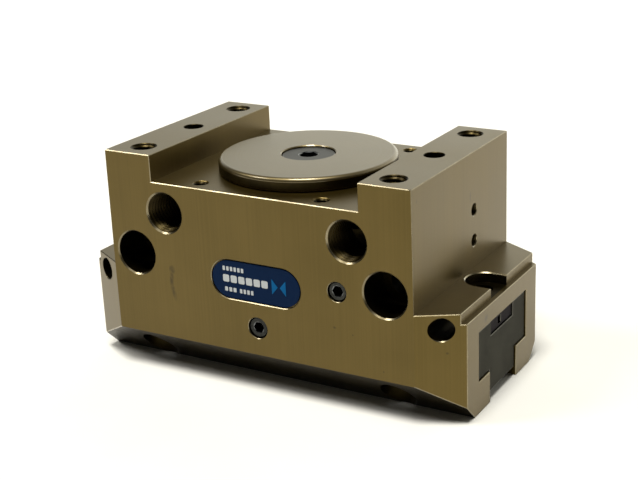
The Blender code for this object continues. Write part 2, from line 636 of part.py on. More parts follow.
def make_jaw(side, materials):
    hand = "right" if side > 0 else "left"
    jaw = solid(f"jaw_{hand}", jaw_bar(side), materials["dark_steel"])
    low_z, high_z = JAW_LOW_Z - 2 * LAP, JAW_HIGH_Z + 2 * LAP
    neck_y, flange_y = NECK_HALF_WIDTH + GAP, HOOK_HALF_WIDTH + GAP
    neck = sloping_band(side, -2 * LAP, NECK_DEPTH, low_z, high_z, -neck_y, neck_y)
    flange = sloping_band(side, NECK_DEPTH - GAP, FLANGE_DEPTH + GAP, low_z, high_z, -flange_y, flange_y)
    cut(jaw, "neck_slot", neck)
    cut(jaw, "flange_slot", flange)
    for i, along in enumerate(FINGER_THREAD_X, start=1):
        x = side * along
        (core_r, core_z), (centring_r, centring_z) = FINGER_THREAD, FINGER_CENTRING
        hole = [(0, -LAP), (centring_r, -LAP), (centring_r, centring_z)]
        hole += [(core_r, centring_z), (core_r, core_z), (0, core_z)]
        cut(jaw, f"finger_thread_{i}", turned(hole, 20, (x, 0, 0)))
    inner_x, half_width, floor_z = CAM_POCKET
    low_x, high_x = sorted((side * inner_x, side * (JAW_END_X + OVERRUN)))
    cut(jaw, "cam_pocket", block((low_x, -half_width, floor_z), (high_x, half_width, JAW_HIGH_Z + OVERRUN)))
    tip_z, seat_z, head_z = CAM_SCREW_Z
    screw_x = side * CAM_WINDOW_X
    thread = [(CAM_SHANK_R + GAP, floor_z - tip_z + GAP)]
    cut(jaw, "cam_screw_hole", drill(thread, (screw_x, 0, floor_z), (0, 0, -1), 12))

    low_x, high_x = sorted(side * x for x in CAM_X)
    cam = solid(
        f"switch_cam_{hand}",
        block((low_x, -CAM_HALF_WIDTH, CAM_Z[0]), (high_x, CAM_HALF_WIDTH, CAM_Z[1])),
        materials["cam_steel"],
    )
    hole_r, head_hole_r, head_floor = CAM_SHANK_R + GAP, CAM_HEAD_R + GAP, seat_z - GAP
    hole = [(0, floor_z - LAP), (hole_r, floor_z - LAP), (hole_r, head_floor), (head_hole_r, head_floor)]
    hole += [(head_hole_r, JAW_HIGH_Z + LAP), (0, JAW_HIGH_Z + LAP)]
    cut(cam, "screw_hole", turned(hole, 16, (screw_x, 0, 0)))
    (x0, y0, z0), (x1, y1, z1) = CAM_NOTCH
    low_x, high_x = sorted((side * x0, side * x1))
    low_y, high_y = sorted((side * y0, side * y1))
    cut(cam, "end_notch", block((low_x, low_y, z0), (high_x, high_y, z1)))

    profile = [(0, tip_z), (CAM_SHANK_R, tip_z), (CAM_SHANK_R, seat_z)]
    profile += [(CAM_HEAD_R, seat_z), (CAM_HEAD_R, head_z), (0, head_z)]
    shape = turned(profile, 16, (screw_x, 0, 0))
    screw = solid(f"switch_cam_screw_{hand}", shape, materials["black_steel"])
    cut(screw, "socket", hex_socket(CAM_SOCKET[0], (screw_x, 0, head_z), (0, 0, -1), CAM_SOCKET[1]))
    carrier = carrier_at(f"jaw_{hand}_carrier", (side * FINGER_THREAD_X[0], 0, JAW_SHOULDER_Z))
    ride_on(carrier, [jaw, cam, screw])


def make_rod_seal(material):
    groove_r, groove_low, groove_high = ROD_GROOVE
    ring("rod_seal", ROD_R + SEAL_GAP, groove_r - GAP, groove_low + GAP, groove_high - GAP, 32, material)


def main():
    clear_scene()
    materials = {
        "anodised_aluminium": make_material("anodised_aluminium", (0.15, 0.11, 0.05), 0.42, 0.75),
        "cover_aluminium": make_material("cover_aluminium", (0.24, 0.21, 0.16), 0.38, 0.8),
        "aluminium": make_material("aluminium", (0.62, 0.62, 0.6), 0.35, 1.0),
        "zinc_steel": make_material("zinc_steel", (0.36, 0.39, 0.42), 0.4, 0.9),
        "steel": make_material("steel", (0.42, 0.42, 0.43), 0.32, 1.0),
        "dark_steel": make_material("dark_steel", (0.06, 0.055, 0.05), 0.45, 0.8),
        "cam_steel": make_material("cam_steel", (0.08, 0.075, 0.08), 0.4, 0.8),
        "black_steel": make_material("black_steel", (0.03, 0.03, 0.03), 0.45, 0.7),
        "rubber": make_material("rubber", (0.02, 0.02, 0.02), 0.8, 0.0),
        "nameplate_blue": make_material("nameplate_blue", (0.01, 0.03, 0.09), 0.4, 0.0),
    }
    make_housing(materials["anodised_aluminium"])
    make_cover(materials)
    make_front_details(materials)
    make_base_cover(materials)
    make_rod_seal(materials["rubber"])
    make_piston(materials)
    for side in (-1, 1):
        make_jaw(side, materials)


main()
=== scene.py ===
"""Looks of a two-jaw parallel pneumatic gripper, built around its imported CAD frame.

+X runs along the jaws' travel, +Y away from the nameplate and +Z up to the mounting rails. Shapes are drawn
in millimetres and become metres where a mesh is made. Material nodes work in metres, in the object's space.
"""

import math

import bmesh
import bpy
from mathutils import Euler, Matrix, Vector


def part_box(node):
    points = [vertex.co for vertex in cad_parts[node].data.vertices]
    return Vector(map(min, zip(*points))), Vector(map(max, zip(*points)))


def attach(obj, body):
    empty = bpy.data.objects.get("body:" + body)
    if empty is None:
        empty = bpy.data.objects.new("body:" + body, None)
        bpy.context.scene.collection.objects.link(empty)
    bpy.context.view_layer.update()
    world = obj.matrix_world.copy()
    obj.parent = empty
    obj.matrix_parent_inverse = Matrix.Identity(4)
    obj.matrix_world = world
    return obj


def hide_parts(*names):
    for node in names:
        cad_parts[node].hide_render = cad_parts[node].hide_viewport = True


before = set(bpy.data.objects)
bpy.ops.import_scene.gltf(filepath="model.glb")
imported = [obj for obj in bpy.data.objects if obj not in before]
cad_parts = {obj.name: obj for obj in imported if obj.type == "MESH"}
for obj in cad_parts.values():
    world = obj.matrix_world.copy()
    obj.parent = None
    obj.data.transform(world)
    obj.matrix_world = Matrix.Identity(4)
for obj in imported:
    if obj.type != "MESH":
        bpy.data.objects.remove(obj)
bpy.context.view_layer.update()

MM = 0.001
GAP = 0.3  # clearance between neighbouring pieces
OVERRUN = 5.0  # how far a cutter passes the face that it opens
OVERLAP = 0.01  # how far it starts before a face that is already cut
ROUND = 72  # segments of a large round shape
HOLE_ROUND = 48  # of a plain hole
THREAD_ROUND = 40  # of a thread
SCREW_ROUND = 36  # of a small screw
THIN_ROUND = 24  # of a thin bore
THREAD_ROWS = 6  # rings of points in each turn of a thread
DRILL_POINT = math.tan(math.radians(31))  # depth of a drill's tip, as a share of its radius
QUARTER = math.pi / 2  # of a turn, in radians
SIDES = {-1: "left", 1: "right"}

# Places in a metal piece's material list. A darker material in the BORE place is painted shade.
FACE, EDGE, BORE = 0, 1, 2

# Housing block
HALF_LENGTH = 62.5
HALF_DEPTH = 32.0
END_HALF_DEPTH = 25.0  # at the end faces, beyond the slanted corners
BODY_HALF_LENGTH = 50.0
STEP_X = 61.0  # where the shoulder drops to the ledge
RAIL_INNER_X = 34.0
RAIL_TOP_Z = 68.0
FLOOR_Z = 60.0
SHOULDER_Z = 33.0
LEDGE_Z = 30.0
BASE_HALF_DEPTH = 20.0  # where the 45 degree chamfers start on the base
EDGE_BREAK = 0.2  # chamfer of the milled edges
CHIP_SIZE = 0.75  # small dent at one rail corner
CHIP_TURN = (0.7, 0.5, 0.3)  # radians
CHIP_OFFSET = Vector((-0.6, -0.45, 0.55))

# Jaw guide
SLOT_HALF_WIDTH = 17.3
SLOT_LOW_Z = 9.5
SLOT_HIGH_Z = 24.5
MOUTH_HALF_WIDTH = 9.6
HOOK_RELIEF = (25.5, 8.4, 26.0)  # half length, half width and top

# Cylinder
BORE_R = 25.0
BORE_FLOOR_Z = 31.0
ROD_BORE_R = 9.3
ROD_GROOVE = (12.0, 28.2, 30.4)  # radius, low and high, as for the other grooves

# Holes. Threads are (core radius, outer radius, pitch, depth, chamfer radius)
MOUNT_THREAD = (3.3, 3.8, 1.25, 17.0, 3.9)
MOUNT_XY = (41.25, 24.75)
MOUNT_COUNTERBORE = (5.2, 20.0)  # radius and height from below
DOWEL_HOLE = (3.0, 10.0, 3.15)  # radius, depth and chamfer radius
FLOOR_THREAD = (1.9, 2.2, 0.8, 8.0, 2.4)
FLOOR_THREAD_XY = (20.0, 27.0)
PORT_THREAD = (5.55, 6.05, 1.34, 13.4, 6.4)
PORT_XZ = (30.2, 51.0)
PORT_CHANNEL_R = 1.5
PORT_CHANNEL_LEAD = 2.0  # how far it starts before the port's floor
# Where the air channels open into the cylinder
CHANNEL_MOUTHS = {1: (19.0, -15.0, 51.0), -1: (-19.0, -15.0, 32.6)}
SIDE_BORE = (6.6, 12.0, 7.0)  # radius, depth and chamfer radius
SIDE_BORE_XZ = (41.5, 37.3)
SIDE_THROUGH_R = 4.25
END_THREAD = (1.6, 1.85, 0.6, 4.2, 2.0)
END_THREAD_Y = 7.7
END_THREAD_Z = (50.6, 41.3)
SENSOR_BORE = (3.3, 30.4, 3.55)  # radius, reach and mouth radius
SENSOR_BORE_XZ = (56.4, 28.6)
CAM_WINDOW_R = 3.1
CAM_WINDOW_X = 55.9
NOTCH_HALF_WIDTH = 5.65
NOTCH_X = 56.7

# Plug screws: name, x, z, hole radius, cross bore's depth
SET_SCREWS = (("set_screw_upper", 26.6, 35.9, 2.95, 13.0), ("set_screw_lower", 0.0, 20.4, 3.2, 17.0))
SET_SCREW_HOLE_DEPTH = 8.0
SET_SCREW_LENGTH = 6.0
SET_SCREW_RECESS = 0.6
SET_SCREW_FLATS = 3.0
SET_SCREW_EDGES = (0.25, 0.6)  # chamfers of the face and the tip
CROSS_BORE_R = 1.5

# Nameplate
PLATE_HALF_LENGTH = 15.0
PLATE_RADIUS = 6.0
PLATE_Z = 34.0
PLATE_POCKET_DEPTH = 0.8
PLATE_POCKET_EDGE = 0.2
PLATE_EDGE = (0.12, 0.08)  # across and deep
PRINT_THICKNESS = 0.04
# Rows of plain blocks: first block's x, height on the plate, block width and height, pitch and count
PLATE_ROWS = (
    (-10.5, 3.2, 0.8, 1.3, 1.25, 6),
    (-9.9, 0.2, 2.1, 2.2, 2.6, 6),
    (-10.0, -3.1, 1.0, 1.3, 1.45, 3),
    (-5.0, -3.1, 0.8, 1.3, 1.25, 4),
)
SYMBOL_X = 7.8
SYMBOL_HALF = 2.3
SYMBOL_GAP = 0.35  # from its middle to each tip

# Cover, plug and seals
COVER_R = 26.6
COVER_TOP_Z = 64.2
COVER_RIM = 1.2
SEAT_EDGE = 0.25  # around the plug
FINE_EDGE = 0.3  # smaller chamfers of turned pieces
TURNED_EDGE = 0.5  # larger ones
SKIRT_R = 24.7
SKIRT_LOW_Z = 53.3
COVER_GROOVE = (22.4, 55.6, 58.2)
PLUG_HEAD_R = 7.9
PLUG_RIM = 0.35
PLUG_SHANK_R = 6.0
PLUG_SEAT_Z = 60.5
PLUG_TOP_Z = 63.7
PLUG_LOW_Z = 54.0
PLUG_FLATS = 5.1
PLUG_SOCKET_DEPTH = 2.6
PLUG_GROOVE = (4.8, 58.2, 60.2)

# Piston
PISTON_R = 24.7
PISTON_LOW_Z = 31.5
PISTON_HIGH_Z = 40.0
PISTON_GROOVE = (21.8, 34.2, 37.4)
PISTON_HOLE_R = 4.4
PISTON_COUNTERBORE_R = 7.0
PISTON_EDGE = 2.0
PISTON_LOW_EDGE = 0.6
HEAD_SEAT_Z = 34.7
SCREW_HEAD_R = 6.5
SCREW_HEAD_RIM = 0.4
SCREW_SHANK_R = 4.1
SCREW_LOW_Z = 22.0
SCREW_FLATS = 5.0
SCREW_SOCKET_DEPTH = 3.0
HOOK_EDGE = 0.2

# Jaws
HOOK_SLOPE = 0.8
HOOK_LOW_Z = 3.4
HOOK_LOW_HALF_LENGTH = 10.5
HOOK_HALF_WIDTH = 7.6
NECK_HALF_WIDTH = 4.2
NECK_DEPTH = 2.4
FLANGE_DEPTH = 4.6
JAW_HALF_WIDTH = 17.0
STEM_HALF_WIDTH = 9.1
JAW_LOW_Z = 3.0
JAW_SHOULDER_Z = 9.8
JAW_HIGH_Z = 24.2
JAW_END_X = 62.0
JAW_EDGE = 0.22
FINGER_THREAD_X = (34.0, 54.0)
FINGER_THREAD = (2.5, 2.95, 1.0, 8.5, 2.95)
FINGER_CENTRING = (4.0, 5.0)  # radius and the height that it reaches
CAM_POCKET = (39.5, 8.0, 19.9)  # inner x, half width and floor
CAM_X = (40.0, 61.6)
CAM_Z = (20.2, 24.0)
CAM_HALF_WIDTH = 7.7
CAM_EDGE = 0.2
CAM_HEAD_R = 2.6
CAM_SHANK_R = 1.2
CAM_HEAD_RIM = 0.3
CAM_SCREW_Z = (14.8, 22.0, 23.7)  # tip, the head's seat and the head's top
CAM_SOCKET = (2.0, 1.0)  # across flats and depth
CAM_NOTCH = ((59.4, -2.0, 20.9), (66.0, 0.0, 23.2))

# Base cover
BASE_PLATE = (14.0, 16.5, 0.3, 2.6)  # half length, half width, low and high
BASE_PLATE_EDGE = 0.25
BASE_SCREW_XY = (10.5, 13.2)
BASE_SCREW_HEAD_R = 2.7
BASE_SCREW_SHANK_R = 1.3
BASE_SCREW_Z = (0.5, 1.9, 7.2)  # face, end of the cone under the head, and tip
BASE_SCREW_EDGES = (0.1, 0.4)  # chamfers of the head and the tip
BASE_SCREW_ROOM = 0.5  # beyond the tip
BASE_SOCKET = (2.0, 1.1)  # across flats and depth

UP = Vector((0, 0, 1))
DOWN = Vector((0, 0, -1))
INWARDS = Vector((0, 1, 0))  # from the front


# ---- shapes

def loft(loops, finishes=FACE, ring=False):
    """A closed surface through loops of points. An end loop of one point is a tip, any other gets a cap."""
    shape = bmesh.new()
    rows = [[shape.verts.new(point) for point in loop] for loop in loops]
    pairs = list(zip(rows, rows[1:] + rows[:1] if ring else rows[1:]))
    if isinstance(finishes, int):
        finishes = [finishes] * len(pairs)
    for (row, following), finish in zip(pairs, finishes):
        count = max(len(row), len(following))
        for i in range(count):
            j = (i + 1) % count
            if len(row) == 1:
                corners = [row[0], following[i], following[j]]
            elif len(following) == 1:
                corners = [row[i], following[0], row[j]]
            else:
                corners = [row[i], following[i], following[j], row[j]]
            shape.faces.new(corners).material_index = finish
    if not ring:
        for row, finish in ((rows[0], finishes[0]), (rows[-1], finishes[-1])):
            if len(row) > 1:
                shape.faces.new(row).material_index = finish
    return shape


def arc(centre, radius, start, end, steps):
    """Points along an arc between two angles."""
    across, up = centre
    angles = [start + (end - start) * i / steps for i in range(steps + 1)]
    return [(across + radius * math.cos(angle), up + radius * math.sin(angle)) for angle in angles]


def placed(shape, centre, axis):
    """The shape, drawn around +Z, set on another axis."""
    turn = UP.rotation_difference(Vector(axis).normalized()).to_matrix().to_4x4()
    bmesh.ops.transform(shape, matrix=Matrix.Translation(centre) @ turn, verts=shape.verts)
    return shape


def lathe(profile, centre=(0, 0, 0), axis=(0, 0, 1), segments=ROUND, ring=False):
    """Turns a profile of (radius, distance along the axis, finish of the stretch that ends there)."""
    loops = []
    for radius, along, _ in profile:
        if radius == 0:
            loops.append([(0, 0, along)])
            continue
        loop = []
        for i in range(segments):
            angle = math.tau * i / segments
            reach = radius(angle) if callable(radius) else radius
            loop.append((reach * math.cos(angle), reach * math.sin(angle), along))
        loops.append(loop)
    finishes = [finish for _, _, finish in profile[1:]]
    if ring:
        finishes.append(profile[0][2])
    return placed(loft(loops, finishes, ring), centre, axis)


def spun(outline, finish, centre=(0, 0, 0), axis=(0, 0, 1), segments=ROUND):
    """Turns an outline of (radius, distance along the axis) that has one finish."""
    return lathe([(radius, along, finish) for radius, along in outline], centre, axis, segments)


def stepped(profile, steps, pointed=True):
    """Carries a hole on through steps of (radius, depth that it reaches), to a floor or a drill point."""
    for radius, reach in steps:
        if radius != profile[-1][0]:
            profile.append((radius, profile[-1][1], BORE))
        profile.append((radius, reach, BORE))
    radius, reach, _ = profile[-1]
    return profile + [(0, reach + (radius * DRILL_POINT if pointed else 0), BORE)]


def drill(steps, mouth, axis, chamfer_r=None, segments=HOLE_ROUND, pointed=True, lip=EDGE):
    """A hole's cutter from its mouth inwards. Each step is a radius and the depth that it reaches."""
    radius = steps[0][0]
    edge_r = chamfer_r or radius
    profile = [(0, -OVERRUN, BORE), (edge_r, -OVERRUN, BORE), (edge_r, 0, BORE)]
    if chamfer_r:
        profile.append((radius, edge_r - radius, lip))
    return lathe(stepped(profile, steps, pointed), mouth, axis, segments)


def tapped(thread, mouth, axis, steps=(), lead_in=OVERRUN, lip=EDGE):
    """A threaded hole's cutter: a helical groove around a core, a chamfered mouth and plain steps beyond."""
    core_r, outer_r, pitch, depth, chamfer_r = thread
    step = pitch / THREAD_ROWS

    def winding(along):
        def radius(angle):
            turn = (along / pitch - angle / math.tau) % 1.0
            height = max(0.0, 1.0 - abs(turn - 0.5) / 0.42)
            cut_r = core_r + (outer_r - core_r) * min(1.0, 1.15 * height)
            return max(cut_r, chamfer_r - along)
        return radius

    profile = [(0, -lead_in, BORE), (chamfer_r, -lead_in, BORE), (chamfer_r, 0, BORE)]
    rows = int(depth / step)
    for i in range(1, rows + 1):
        along = i * step
        finish = lip if along < chamfer_r - outer_r + step else BORE
        profile.append((winding(along), along, finish))
    profile.append((core_r, rows * step + step, BORE))
    return lathe(stepped(profile, steps), mouth, axis, THREAD_ROUND)


def block(low, high, finish=FACE):
    (x0, y0, z0), (x1, y1, z1) = low, high
    corners = [(x0, y0), (x1, y0), (x1, y1), (x0, y1)]
    return loft([[(x, y, z) for x, y in corners] for z in (z0, z1)], finish)


def prism(outline, axis, low, high):
    """A flat outline extruded along an axis. Its points are the other two coordinates, in X, Y, Z order."""
    slot = "XYZ".index(axis)
    return loft([[(*point[:slot], along, *point[slot:]) for point in outline] for along in (low, high)])


def hex_socket(across_flats, mouth, axis, depth):
    """A hexagon socket's cutter with a drill point at its floor."""
    corner_r = across_flats / math.sqrt(3)
    outline = [(corner_r, -0.5), (corner_r, depth), (0.5 * corner_r, depth), (0, depth + 0.15 * across_flats)]
    return spun(outline, BORE, mouth, axis, 6)


def merged(shapes):
    """One shape made of several that don't touch."""
    whole = bmesh.new()
    for shape in shapes:
        bmesh.ops.recalc_face_normals(shape, faces=shape.faces)
        mesh = bpy.data.meshes.new("part")
        shape.to_mesh(mesh)
        shape.free()
        whole.from_mesh(mesh)
        bpy.data.meshes.remove(mesh)
    return whole


# ---- pieces

def mesh_object(name, shape, finishes):
    """The shape, drawn in millimetres, as an object in metres."""
    bmesh.ops.recalc_face_normals(shape, faces=shape.faces)
    bmesh.ops.scale(shape, vec=(MM, MM, MM), verts=shape.verts)
    mesh = bpy.data.meshes.new(name)
    shape.to_mesh(mesh)
    shape.free()
    for material in finishes:
        mesh.materials.append(material)
    obj = bpy.data.objects.new(name, mesh)
    bpy.context.scene.collection.objects.link(obj)
    return obj


def apply_modifiers(obj):
    graph = bpy.context.evaluated_depsgraph_get()
    baked = bpy.data.meshes.new_from_object(obj.evaluated_get(graph))
    obj.modifiers.clear()
    rough, obj.data = obj.data, baked
    bpy.data.meshes.remove(rough)


def carve(obj, shapes):
    """Takes shapes that don't touch each other from the object, and keeps their finishes on the cut faces."""
    cutter = mesh_object("cutter", merged(shapes), obj.data.materials)
    modifier = obj.modifiers.new("carve", "BOOLEAN")
    modifier.operation = "DIFFERENCE"
    modifier.material_mode = "TRANSFER"
    modifier.object = cutter
    apply_modifiers(obj)
    bpy.data.objects.remove(cutter)


def break_edges(obj, width, least_angle=20, segments=4):
    """Rounds the convex edges, or chamfers them with one segment. The new faces get the edge finish."""
    shape = bmesh.new()
    shape.from_mesh(obj.data)
    bmesh.ops.dissolve_limit(shape, angle_limit=math.radians(0.1), verts=shape.verts, edges=shape.edges)
    weight = shape.edges.layers.float.new("bevel_weight_edge")
    for edge in shape.edges:
        if len(edge.link_faces) == 2 and edge.calc_face_angle_signed() > math.radians(least_angle):
            edge[weight] = 1.0
    shape.to_mesh(obj.data)
    shape.free()
    modifier = obj.modifiers.new("edge_break", "BEVEL")
    modifier.limit_method = "WEIGHT"
    modifier.width = width * MM
    modifier.segments = segments
    modifier.material = EDGE
    apply_modifiers(obj)


def shade(obj, sharp_angle=26):
    """Smooth shading that keeps the flat faces flat."""
    obj.data.shade_smooth()
    obj.data.set_sharp_from_angle(angle=math.radians(sharp_angle))
    modifier = obj.modifiers.new("flat_faces", "WEIGHTED_NORMAL")
    modifier.keep_sharp = True
    apply_modifiers(obj)


def fitted(obj, body, slot, *nodes):
    """The piece gets smooth shading, moves with a body and stands for the CAD nodes. The slot is not used."""
    shade(obj)
    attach(obj, body)
    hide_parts(*nodes)


def make_screw(node, body, slot, shape, finishes, *socket):
    """A screw with a hexagon socket, which is given as in hex_socket."""
    screw = mesh_object(f"{node}_socketed", shape, finishes)
    carve(screw, [hex_socket(*socket)])
    fitted(screw, body, slot, node)


# ---- materials

class Wiring:
    """Short ways to add nodes to a tree."""

    def __init__(self, tree):
        self.tree = tree

    def node(self, kind, inputs=(), **settings):
        made = self.tree.nodes.new(kind)
        for key, value in settings.items():
            setattr(made, key, value)
        for key, value in dict(inputs).items():
            if isinstance(value, bpy.types.NodeSocket):
                self.tree.links.new(value, made.inputs[key])
            else:
                made.inputs[key].default_value = value
        return made

    def math(self, operation, first, second):
        return self.node("ShaderNodeMath", {0: first, 1: second}, operation=operation).outputs[0]

    def total(self, *terms):
        """The sum of values, each times its share."""
        first, *others = [self.math("MULTIPLY", value, share) for value, share in terms]
        for other in others:
            first = self.math("ADD", first, other)
        return first


class Paint(Wiring):
    """A Principled material, and the patterns that vary it."""

    def __init__(self, name, metallic, **sockets):
        self.material = bpy.data.materials.new(name)
        self.material.use_nodes = True
        super().__init__(self.material.node_tree)
        self.shader = self.tree.nodes["Principled BSDF"]
        self.shader.inputs["Metallic"].default_value = metallic
        for socket, value in sockets.items():
            self.shader.inputs[socket.replace("_", " ")].default_value = value
        self.place = self.node("ShaderNodeTexCoord").outputs["Object"]

    def noise(self, scale, detail=3.0):
        """Noise with a number of features per metre, one for each axis or one for all."""
        scale = scale if isinstance(scale, tuple) else (scale,) * 3
        place = self.node("ShaderNodeMapping", {"Vector": self.place, "Scale": scale}).outputs[0]
        return self.node("ShaderNodeTexNoise", {"Vector": place, "Scale": 1.0, "Detail": detail}).outputs[0]

    def spread(self, value, low, high, to_low=0.0, to_high=1.0):
        inputs = {0: value, 1: low, 2: high, 3: to_low, 4: to_high}
        return self.node("ShaderNodeMapRange", inputs).outputs[0]

    def mix(self, share, first, second):
        inputs = {0: share}
        for slot, colour in ((6, first), (7, second)):
            inputs[slot] = colour if isinstance(colour, bpy.types.NodeSocket) else (*colour, 1.0)
        return self.node("ShaderNodeMix", inputs, data_type="RGBA").outputs[2]

    def spot(self, centre, radii, tilt=0.0):
        """1 in the middle of an ellipsoid, in metres, and 0 at its edge. The tilt turns it about +Y."""
        inputs = {"Vector": self.place, "Location": centre, "Rotation": (0, tilt, 0), "Scale": radii}
        local = self.node("ShaderNodeMapping", inputs, vector_type="TEXTURE").outputs[0]
        length = self.node("ShaderNodeVectorMath", {0: local}, operation="LENGTH").outputs["Value"]
        return self.spread(length, 0.0, 1.0, 1.0, 0.0)

    def around_z(self):
        """Distance from the Z axis, in metres."""
        inputs = {0: self.place, 1: (1, 1, 0)}
        flat = self.node("ShaderNodeVectorMath", inputs, operation="MULTIPLY").outputs[0]
        return self.node("ShaderNodeVectorMath", {0: flat}, operation="LENGTH").outputs["Value"]

    def set(self, colour, roughness=None, height=None, relief=0.00001, strength=1.0):
        """Wires the varying colour, roughness and height, the last with its depth in metres."""
        self.tree.links.new(colour, self.shader.inputs["Base Color"])
        if roughness is not None:
            self.tree.links.new(roughness, self.shader.inputs["Roughness"])
        if height is not None:
            bump = self.node("ShaderNodeBump", {"Height": height, "Distance": relief, "Strength": strength})
            self.tree.links.new(bump.outputs[0], self.shader.inputs["Normal"])
        return self.material


ANODISED_PALE = (0.130, 0.088, 0.017)
ANODISED_DARK = (0.100, 0.067, 0.010)
# Pale tint of the broken edges: painted highlight colour, and patches of wear
EDGE_SHEEN_AND_WEAR = (0.46, 0.41, 0.29)
SMEAR = (0.020, 0.014, 0.006)
# The smear on the front, specks and stains, in metres: centre, radii and any tilt about +Y
DARK_MARKS = (
    ((-0.0289, -0.032, 0.0338), (0.0014, 0.002, 0.0018)),
    ((-0.0293, -0.032, 0.0306), (0.0010, 0.002, 0.0040), 0.05),
    ((-0.0288, -0.032, 0.0266), (0.0010, 0.002, 0.0034), -0.2),
    ((0.0255, -0.032, 0.0252), (0.0007, 0.002, 0.0005)),
    ((0.0312, -0.032, 0.0240), (0.0004, 0.002, 0.0004)),
    ((0.0406, -0.032, 0.0148), (0.0004, 0.002, 0.0005)),
    ((0.0500, -0.0290, 0.0640), (0.002, 0.0004, 0.0008)),
    ((0.0500, 0.0051, 0.0552), (0.002, 0.0005, 0.0024)),
    ((0.0578, -0.0276, 0.0218), (0.0005, 0.002, 0.0005)),
    ((0.0625, -0.0125, 0.0270), (0.002, 0.0017, 0.0018)),
    ((-0.0500, -0.0317, 0.0090), (0.0009, 0.003, 0.0008)),
)


def anodised(name):
    """Hard-anodised aluminium: fine upright milling lines, a slow drift of colour and a few dark marks."""
    paint = Paint(name, 1.0, Coat_Weight=0.44, Coat_Roughness=0.30, Coat_IOR=1.5)
    lines = paint.noise((2300, 2300, 9), 2.0)
    bands = paint.noise((210, 210, 2), 2.0)
    clouds = paint.noise((45, 45, 38), 4.0)
    grain = paint.noise(7000, 2.0)
    tone = paint.total((lines, 0.26), (bands, 0.12), (clouds, 0.62))
    colour = paint.mix(paint.spread(tone, 0.36, 0.64), ANODISED_DARK, ANODISED_PALE)
    marks = 0.0
    for mark in DARK_MARKS:
        marks = paint.math("MAXIMUM", marks, paint.spot(*mark))
    blotches = paint.spread(paint.noise((900, 900, 700)), 0.3, 0.6, 0.55, 1.5)
    marks = paint.math("MULTIPLY", marks, blotches)
    colour = paint.mix(paint.spread(marks, 0.10, 1.0, 0.0, 0.6), colour, SMEAR)
    roughness = paint.spread(paint.math("ADD", grain, clouds), 0.7, 1.3, 0.36, 0.46)
    height = paint.total((lines, 0.8), (grain, 0.35))
    return paint.set(colour, roughness, height, 0.000008, 0.2)


def anodised_edge(name):
    """The same metal on broken edges, painted paler throughout so their highlights come out cream, and paler
    still in random patches of wear.
    """
    paint = Paint(name, 1.0, Coat_Weight=0.9, Coat_Roughness=0.24, Coat_IOR=1.5)
    wear = paint.spread(paint.noise(160), 0.35, 0.7)
    fine = paint.spread(paint.noise(2600, 2.0), 0.35, 0.7)
    # The fixed share of pale tint on every edge is a painted highlight; the noise adds patches of wear.
    share = paint.math("ADD", paint.total((wear, 0.22), (fine, 0.10)), 0.18)
    colour = paint.mix(share, ANODISED_DARK, EDGE_SHEEN_AND_WEAR)
    roughness = paint.spread(wear, 0.0, 1.0, 0.32, 0.24)
    return paint.set(colour, roughness, fine, 0.00001, 0.12)


def shaded_bore(name):
    """Anodised metal darker than the faces, painted shade for holes and other shaded places, with the rings
    that a drill or boring bar leaves.
    """
    paint = Paint(name, 1.0, Coat_Weight=0.08, Coat_Roughness=0.3)
    rings = paint.noise((300, 3400, 3400), 1.0)
    clouds = paint.noise(160)
    colour = paint.mix(paint.spread(clouds, 0.35, 0.65), (0.020, 0.014, 0.004), (0.035, 0.025, 0.007))
    return paint.set(colour, paint.spread(rings, 0.3, 0.7, 0.32, 0.46), rings, 0.00002, 0.3)


def turned_anodised(name, dark, pale, coat_roughness):
    """The cover's anodised metal: fine concentric tool marks about +Z."""
    paint = Paint(name, 1.0, Coat_Weight=0.7, Coat_Roughness=coat_roughness, Coat_IOR=1.5)
    along = {"W": paint.math("MULTIPLY", paint.around_z(), 2600.0), "Scale": 1.0}
    rings = paint.node("ShaderNodeTexNoise", along, noise_dimensions="1D").outputs[0]
    clouds = paint.noise(60, 4.0)
    grain = paint.noise(6000, 2.0)
    tone = paint.total((rings, 0.45), (clouds, 0.55))
    colour = paint.mix(paint.spread(tone, 0.38, 0.62), dark, pale)
    roughness = paint.spread(paint.math("ADD", rings, grain), 0.7, 1.3, 0.34, 0.44)
    height = paint.total((rings, 1.0), (grain, 0.3))
    return paint.set(colour, roughness, height, 0.000008, 0.2)


